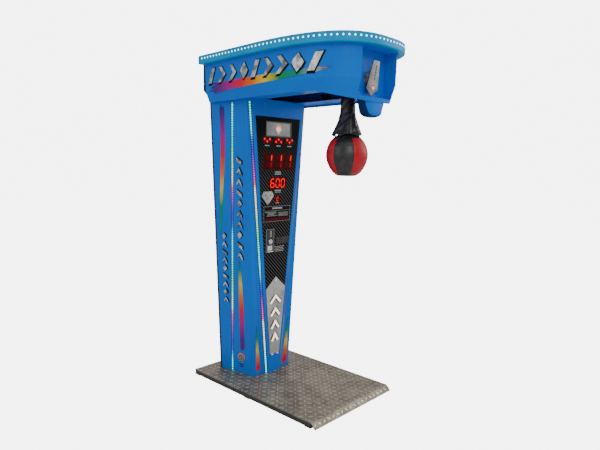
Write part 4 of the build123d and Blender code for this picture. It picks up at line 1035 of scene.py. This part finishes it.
# %% Info box
box_x, box_up = -0.001, 1.206
panel_studs("info_back", bars([(box_x, box_up, 0.250, 0.102)]), 0.0001, 0.0003, print_dark,
            "panel_black")
panel_studs("info_frame", bars(frame_bars(box_x, box_up, 0.254, 0.106, 0.0018)), 0.0002, 0.0007,
            print_grey, "silver")
info_rows = [(box_x, 1.246, 0.098, 0.011), (box_x, 1.229, 0.246, 0.0015)]
info_rows += [
    (-0.062 + 0.012 * (k % 2), 1.219 - 0.0085 * k, 0.105 - 0.018 * (k % 3), 0.0036)
    for k in range(4)
]
info_rows += [(0.060, 1.214 - 0.008 * k, 0.105 - 0.012 * (k % 2), 0.003) for k in range(4)]
lower_rows = [
    (0.024 + 0.004 * (k % 2), 0.968 - 0.011 * k, 0.098 - 0.014 * (k % 2), 0.0042)
    for k in range(4)
]
panel_studs("info_rows", bars(info_rows), 0.0003, 0.0008, print_grey, "silver")
panel_studs("info_band", bars([(box_x, 1.166, 0.246, 0.020)]), 0.0003, 0.0007, print_red,
            "red_display")
panel_studs("lower_rows", bars(lower_rows), 0.0001, 0.0005, print_grey, "silver")
print(len(info_rows), "rows")

# %% [markdown]
# ## Trim of the coin entry
# The coin entry has a pale outline, and bright frames round its slot, its button and its return
# cup. They stand on the entry's own plate, a few millimetres out from the panel.

# %% Coin entry trim
plate_out = 0.005
cx, cu = -0.069, 1.018
part_x = cx + 0.005
cup_edges = [(cx - 0.0195, cu - 0.056, 0.005, 0.046), (part_x, cu - 0.0785, 0.052, 0.005)]
for name, shapes, low, high, material, slot in (
    ("coin_outline", bars(frame_bars(cx, cu, 0.074, 0.158, 0.0022)), 0.0001, 0.0008, print_grey,
     "silver"),
    ("slot_frame", bars(frame_bars(part_x, cu + 0.048, 0.0105, 0.040, 0.0035)), 0.0, 0.0022,
     chrome, "chrome"),
    ("button_frame", ring((part_x, cu - 0.008), 0.0132, 0.0175), 0.0, 0.0018, chrome, "chrome"),
    ("return_frame", bars(cup_edges), 0.0, 0.0025, mark_white, "chrome"),
):
    panel_studs(name, shapes, plate_out + low, plate_out + high, material, slot)
panel_studs("blank_outline", bars(frame_bars(0.056, 1.012, 0.118, 0.040, 0.0012)), 0.0021, 0.0026,
            black_metal, "black_metal")
print("coin entry done")

# %% [markdown]
# ## Facets of the silver badge and plate marks
# The badge is cut like a gem. Thin dark lines between the facets give the cut, and one small
# red mark sits in the middle. The nose plate has a white disc with an open red ring on it, and
# five short dark bars above it.

# %% Gem lines
def line_between(pairs, width):
    """Thin quads along pairs of points: half a width to each side of the line."""
    pairs = np.asarray(pairs, float)
    run = pairs[:, 1] - pairs[:, 0]
    run /= np.linalg.norm(run, axis=1, keepdims=True)
    side = np.stack([-run[:, 1], run[:, 0]], axis=-1) * width / 2
    first, last = pairs[:, 0], pairs[:, 1]
    return np.stack([first - side, last - side, last + side, first + side], axis=1)


gx, gu = -0.094, 1.318
girdle, crown, tip = gu + 0.018, gu + 0.044, (gx, gu - 0.046)
gem = [
    ((gx - 0.054, girdle), (gx + 0.054, girdle)), ((gx - 0.034, crown), (gx - 0.024, girdle)),
    ((gx + 0.034, crown), (gx + 0.024, girdle)), ((gx - 0.024, girdle), tip),
    ((gx + 0.024, girdle), tip), ((gx - 0.024, girdle), (gx, gu + 0.045)),
    ((gx + 0.024, girdle), (gx, gu + 0.045)),
]
panel_studs("gem_lines", line_between(gem, 0.0022), 0.0035, 0.0046, black_metal, "black_metal")
panel_studs("gem_mark", np.stack([chevron * (0.022, 0.026) + (gx - 0.011, gu - 0.012)]), 0.0036,
            0.0052, mark_red, "red_display")
plate_low, plate_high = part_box("emblem_plate")
tilt, plate_reach, plate_thick = math.radians(11.0), 0.101, 0.005
plate_z = plate_high.z - plate_reach * math.cos(tilt)
plate_y = plate_low.y + plate_reach * math.sin(tilt) + plate_thick * math.cos(tilt)


def on_nose_plate(x, up, out):
    """Place function of the tilted nose plate: up and out along the plate's own directions."""
    out = out + plate_thick
    y = plate_y - up * math.sin(tilt) - out * math.cos(tilt)
    return np.stack([x, y, plate_z + up * math.cos(tilt) - out * math.sin(tilt)], axis=-1)


disc_spot = (0, -0.052)
for name, shapes, low, high, material in (
    ("nose_disc", regular([disc_spot], 0.020, 24), 0.0, 0.0012, mark_white),
    ("nose_ring", ring(disc_spot, 0.008, 0.018, 0.6, 5.2), 0.001, 0.002, mark_red),
    ("nose_bars", bars([(0.006, 0.017 * k, 0.008, 0.012) for k in range(5)]), 0.0, 0.0012,
     black_metal),
):
    studs(name, shapes, on_nose_plate, low, high, material, "machine", "silver")
print("badge and plate done")

# %% [markdown]
# ## Edge of the door motif
# Each glowing chevron on the cash door has a dark gold border. The chevrons ride on the door, so
# their borders do too.

# %% Motif borders
levels = 0.300 + 0.095 * np.arange(4)
reach = 0.024 + 0.006 * np.arange(4)
tips = np.stack([0 * reach, levels + 0.0225], -1)
arms = np.concatenate([
    np.stack([np.stack([side * (reach + 0.003), levels - 0.0245], -1), tips], 1)
    for side in (-1, 1)
])
studs("motif_border", line_between(arms, 0.034), on_panel, 0.0001, 0.0026, gold_edge, "front_door",
      "motif_light")
print(len(arms), "borders")

# %% [markdown]
# ## The chin guard
# A rounded guard hangs under the nose, in front of the arm. Its front is blue gel coat, and its
# sides and back carry painted shade, a darker blue which matches how they look from the main
# view, though the real guard is probably one colour. Each level is a superellipse whose size
# follows a quarter circle near the bottom, so the lower edge is round. Its upper edge slopes with
# the nose.

# %% Chin guard
chin_low, chin_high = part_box("chin_guard")
# The darker blue for the guard's sides and back is painted shade.
shaded_blue = finish("shaded_blue", (0.0, 0.022, 0.10), 0.5, grain=260, bump=0.02, spread=0.05,
                     specular=0.10)
round_share, squareness, lip_slope = 0.30, 0.62, 0.2415
level = np.concatenate([
    np.linspace(0, round_share, 12) ** 1.5 / round_share ** 0.5, np.linspace(0.33, 1, 16),
])
around = np.linspace(0, 2 * math.pi, 96, endpoint=False)
level_grid, turn = np.meshgrid(level, around, indexing="ij")
rounding = np.sqrt(np.clip(1 - (1 - np.clip(level_grid / round_share, 0, 1)) ** 2, 0, 1))
half_x = (0.068 + 0.030 * np.clip(level_grid, 0, 1) ** 0.8) * (0.35 + 0.65 * rounding)
half_y = (0.040 + 0.009 * level_grid) * (0.30 + 0.70 * rounding)
middle_y = (chin_low.y + chin_high.y) / 2
guard_x = half_x * np.sign(np.cos(turn)) * np.abs(np.cos(turn)) ** squareness
guard_y = middle_y + half_y * np.sign(np.sin(turn)) * np.abs(np.sin(turn)) ** squareness
lip_line = chin_high.z - (chin_high.y - guard_y) * lip_slope + 0.001
guard_z = chin_low.z + level_grid * (lip_line - chin_low.z)
closing = np.array([[[0.0, middle_y, chin_low.z]] * len(around)])
guard_grid = np.concatenate([closing, np.stack([guard_x, guard_y, guard_z], axis=-1)])
guard = surface("chin_cover", guard_grid, blue_gloss, "machine", "blue_gloss", wrap_columns=True)
guard.data.materials.append(shaded_blue)
centre = np.empty(len(guard.data.polygons) * 3, np.float32)
guard.data.polygons.foreach_get("center", centre)
centre = centre.reshape(-1, 3)
# Faces behind this slanted line take the darker blue, which is painted shade.
front_limit = chin_low.y + 0.016 + 0.10 * (centre[:, 2] - chin_low.z)
guard.data.polygons.foreach_set("material_index", (centre[:, 1] > front_limit).astype(np.int32))
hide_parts("chin_guard")
print("guard", [round(v * 1000) for v in chin_high - chin_low], "mm")

# %% [markdown]
# ## The punch ball
# The ball has six leather gores, black and red in turn, with a black cap above and below. Its
# radius follows a profile down the ball and dips at each seam, where the stitching pulls the
# leather in. The lower half narrows almost straight to a flat cap.

# %% Ball
ball_low, ball_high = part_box("punch_ball")
ball_y = (ball_low.y + ball_high.y) / 2
ball_radius = 0.131
ball_z = ball_low.z + ball_radius
profile = np.array([
    (0.0, 0.1265), (0.030, 0.1265), (0.055, 0.1235), (0.072, 0.1150), (0.092, 0.0980),
    (0.109, 0.0760), (0.122, 0.0470), (0.1295, 0.0120), (0.1290, -0.0150), (0.1215, -0.0480),
    (0.1060, -0.0800), (0.0880, -0.1060), (0.0700, -0.1220), (0.0560, -0.1285), (0.030, -0.1306),
    (0.0, -0.1308),
])
turns, levels_count = 240, 120
t = np.concatenate([[0], np.cumsum(np.linalg.norm(np.diff(profile, axis=0), axis=1))])
t /= t[-1]
fine = np.linspace(0, 1, levels_count)
kernel = np.array([1, 2, 3, 2, 1]) / 9
radius = np.interp(fine, t, profile[:, 0])
height = np.interp(fine, t, profile[:, 1])
radius[2:-2] = np.convolve(radius, kernel, "valid")
height[2:-2] = np.convolve(height, kernel, "valid")
facing = math.radians(208.6)
angle = np.linspace(0, 2 * math.pi, turns, endpoint=False)
from_seam = (angle - facing + math.pi / 6) % (math.pi / 3)
from_seam = np.minimum(from_seam, math.pi / 3 - from_seam)
pull = 0.022 * np.exp(-(from_seam / 0.035) ** 2) - 0.006 * np.sin(from_seam * 3)
cap_top, cap_low = 0.235, 0.815
band = np.exp(-((fine - cap_top) / 0.006) ** 2) + np.exp(-((fine - cap_low) / 0.006) ** 2)
body_share = ((fine > cap_top) & (fine < cap_low)).astype(float)
swell = 1 - body_share[:, None] * pull[None] - 0.018 * band[:, None]
ball_grid = np.stack([
    radius[:, None] * swell * np.cos(angle), ball_y + radius[:, None] * swell * np.sin(angle),
    ball_z + height[:, None] + 0 * angle[None],
], axis=-1)
black_leather = colour_drift(
    finish("black_leather", (0.014, 0.013, 0.013), 0.36, grain=420, bump=0.35, spread=0.10),
    (0.010, 0.009, 0.009), (0.028, 0.026, 0.025), 28.0,
)
red_leather = colour_drift(
    finish("red_leather", (0.42, 0.012, 0.022), 0.42, grain=420, bump=0.35, spread=0.10,
           specular=0.25),
    (0.36, 0.004, 0.012), (0.52, 0.010, 0.022), 18.0,
)
ball = surface("sewn_ball", ball_grid, black_leather, "arm", "leather", wrap_columns=True)
ball.data.materials.append(red_leather)
face_angle = angle + 2 * math.pi / turns / 2
gore = (np.floor((face_angle - facing + math.pi / 6) / (math.pi / 3)) % 2).astype(int)
rows_mid = (fine[:-1] + fine[1:]) / 2
index = np.where(((rows_mid > cap_top) & (rows_mid < cap_low))[:, None], gore[None], 0)
if len(ball.data.polygons) == index.size:
    ball.data.polygons.foreach_set("material_index", index.ravel().astype(np.int32))
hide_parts("punch_ball")
print("ball", round(float(radius.max()) * 2000), "mm across;", len(ball.data.polygons), "faces")

# %% [markdown]
# ## The leather sleeve
# The sleeve is a gathered cone: tight on the tube, wide and wavy over the ball. Long folds wind
# down it, waves grow towards the hem, and small creases cross the folds at a slant. A fold is the
# absolute value of a sine, which gives a sharp ridge. A Solidify modifier gives the wall.

# %% Sleeve
sleeve_low, sleeve_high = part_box("leather_sleeve")
down_share = np.linspace(0, 1, 90)
around = np.linspace(0, 2 * math.pi, 180, endpoint=False)
base = np.interp(down_share, [0, 0.03, 0.10, 0.40, 0.62, 0.85, 1.0],
                 [0.030, 0.043, 0.044, 0.046, 0.058, 0.076, 0.090])
share, turn = np.meshgrid(down_share, around, indexing="ij")
waves = (0.0060 * np.sin(5 * turn + 2.0 * share) + 0.003 * np.sin(8 * turn + 2.0)) * share ** 1.6
twist = 2.2 * share + 0.4 * np.sin(4.0 * share)
folds = 0.0014 * (1 - 2 * np.abs(np.sin(3.5 * (turn + twist)))) * np.clip(share / 0.1, 0, 1)
folds *= 0.6 + 0.4 * np.sin(2 * turn + 7 * share)
creases = 0.0016 * np.sin(30 * share + 3 * turn + 2 * np.sin(2 * turn))
creases *= np.sin(2 * turn + 6 * share) ** 4
hem = 0.006 * np.sin(5 * turn + 0.6) + 0.003 * np.sin(9 * turn)
sleeve_r = base[:, None] - 0.002 + waves + folds + creases
sleeve_z = sleeve_high.z - share * (sleeve_high.z - sleeve_low.z - 0.008) + hem * share ** 4
sleeve_grid = np.stack([
    sleeve_r * np.cos(turn), ball_y + sleeve_r * np.sin(turn), sleeve_z,
], axis=-1)
sleeve = surface("gathered_sleeve", sleeve_grid, black_leather, "arm", "leather", wrap_columns=True)
wall = sleeve.modifiers.new("leather_thickness", "SOLIDIFY")
wall.thickness = 0.0022
wall.offset = -1
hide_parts("leather_sleeve")
print("sleeve hem", round(float(sleeve_r.max()) * 2000), "mm across")

# %% [markdown]
# ## Screws
# Screw heads hold the back board, the blank plate and the tread plate. Each head is a stud with
# ten or twelve sides and a smaller top.

# %% Fasteners
board_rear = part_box("back_board")[1].y


def behind(x, z, out):
    """Place function of the rear face."""
    return np.stack([-x, board_rear + out + 0 * x, z], axis=-1)


heights = np.linspace(0.10, 1.90, 9)
edge_x = 0.215 + 0.080 * (heights - base_top) / 1.96
board_screws = np.concatenate([np.stack([side * edge_x, heights], -1) for side in (1, -1)])
blank_screws = np.array([(x, up) for up in (0.995, 1.029) for x in (0.008, 0.104)])
tread_spots = np.array([(sign * 0.372, y) for sign in (-1, 1) for y in np.linspace(-0.44, 0.67, 6)])
studs("board_screws", regular(board_screws, 0.0065, 12), behind, 0.0, 0.003, zinc, "machine",
      "zinc", 0.6)
panel_studs("blank_screws", regular(blank_screws, 0.0035, 10), 0.0018, 0.0036, black_metal,
            "black_metal", 0.6)
studs("tread_screws", regular(tread_spots, 0.0075, 12), on_tread, 0.0, 0.0018, zinc, "machine",
      "zinc", 0.7)
print(len(board_screws) + len(blank_screws) + len(tread_spots), "screws")

# %% [markdown]
# ## The studio
# A pale floor, a pale surround and three large soft lights: one high in front, one at each side.
# Large lights give wide soft reflections on the gel coat, which show its curves. The floor and
# the surround look brighter to the camera than they light the machine, so that both can be
# nearly white while the machine's colours stay deep.

# %% Floor and lights
floor_mesh = bpy.data.meshes.new("studio_floor")
floor_mesh.from_pydata([(-14, -14, 0), (14, -14, 0), (14, 14, 0), (-14, 14, 0)], [], [(0, 1, 2, 3)])
floor_pale = finish("floor_pale", (0.86, 0.86, 0.86), 0.85, grain=20, bump=0.0)
floor_tree = floor_pale.node_tree
floor_glow = add_node(floor_tree, "Emission", Strength=7.4)
floor_ray, floor_mix = add_node(floor_tree, "LightPath"), add_node(floor_tree, "MixShader")
floor_share = add_node(floor_tree, "Math")
floor_share.operation = "MULTIPLY"
floor_share.inputs[1].default_value = 0.80
join(
    floor_tree, (floor_ray, "Is Camera Ray", floor_share, 0),
    (floor_share, "Value", floor_mix, "Fac"),
    (floor_tree.nodes["Principled BSDF"], "BSDF", floor_mix, 1),
    (floor_glow, "Emission", floor_mix, 2),
    (floor_mix, "Shader", floor_tree.nodes["Material Output"], "Surface"),
)
floor_mesh.materials.append(floor_pale)
floor = bpy.data.objects.new("studio_floor", floor_mesh)
bpy.context.scene.collection.objects.link(floor)
world = bpy.data.worlds.new("studio_world")
world.use_nodes = True
sky = world.node_tree
background = sky.nodes["Background"]
background.inputs["Color"].default_value = (1.0, 1.0, 1.0, 1.0)
background.inputs["Strength"].default_value = 0.66
backdrop = add_node(sky, "Background", Color=(1.0, 1.0, 1.0, 1.0), Strength=6.0)
seen, choose = add_node(sky, "LightPath"), add_node(sky, "MixShader")
join(
    sky, (seen, "Is Camera Ray", choose, "Fac"), (background, "Background", choose, 1),
    (backdrop, "Background", choose, 2), (choose, "Shader", sky.nodes["World Output"], "Surface"),
)
bpy.context.scene.world = world
for name, place, aim, size, power in (
    ("front_softbox", (-2.6, -4.6, 4.2), (0.0, 0.0, 1.2), 2.6, 80),
    ("left_softbox", (-4.8, 0.8, 2.6), (0.0, 0.1, 1.2), 2.4, 22),
    ("right_softbox", (4.2, -2.6, 3.0), (0.0, 0.0, 1.2), 2.4, 70),
):
    data = bpy.data.lights.new(name, "AREA")
    data.size, data.energy = size, power
    lamp = bpy.data.objects.new(name, data)
    bpy.context.scene.collection.objects.link(lamp)
    away = np.array(place) - np.array(aim)
    away /= np.linalg.norm(away)
    across = np.cross([0.0, 0.0, 1.0], away)
    across /= np.linalg.norm(across)
    pose = np.eye(4)
    pose[:3, 0], pose[:3, 1], pose[:3, 2], pose[:3, 3] = across, np.cross(away, across), away, place
    lamp.matrix_world = Matrix(pose.tolist())
print("lights placed")
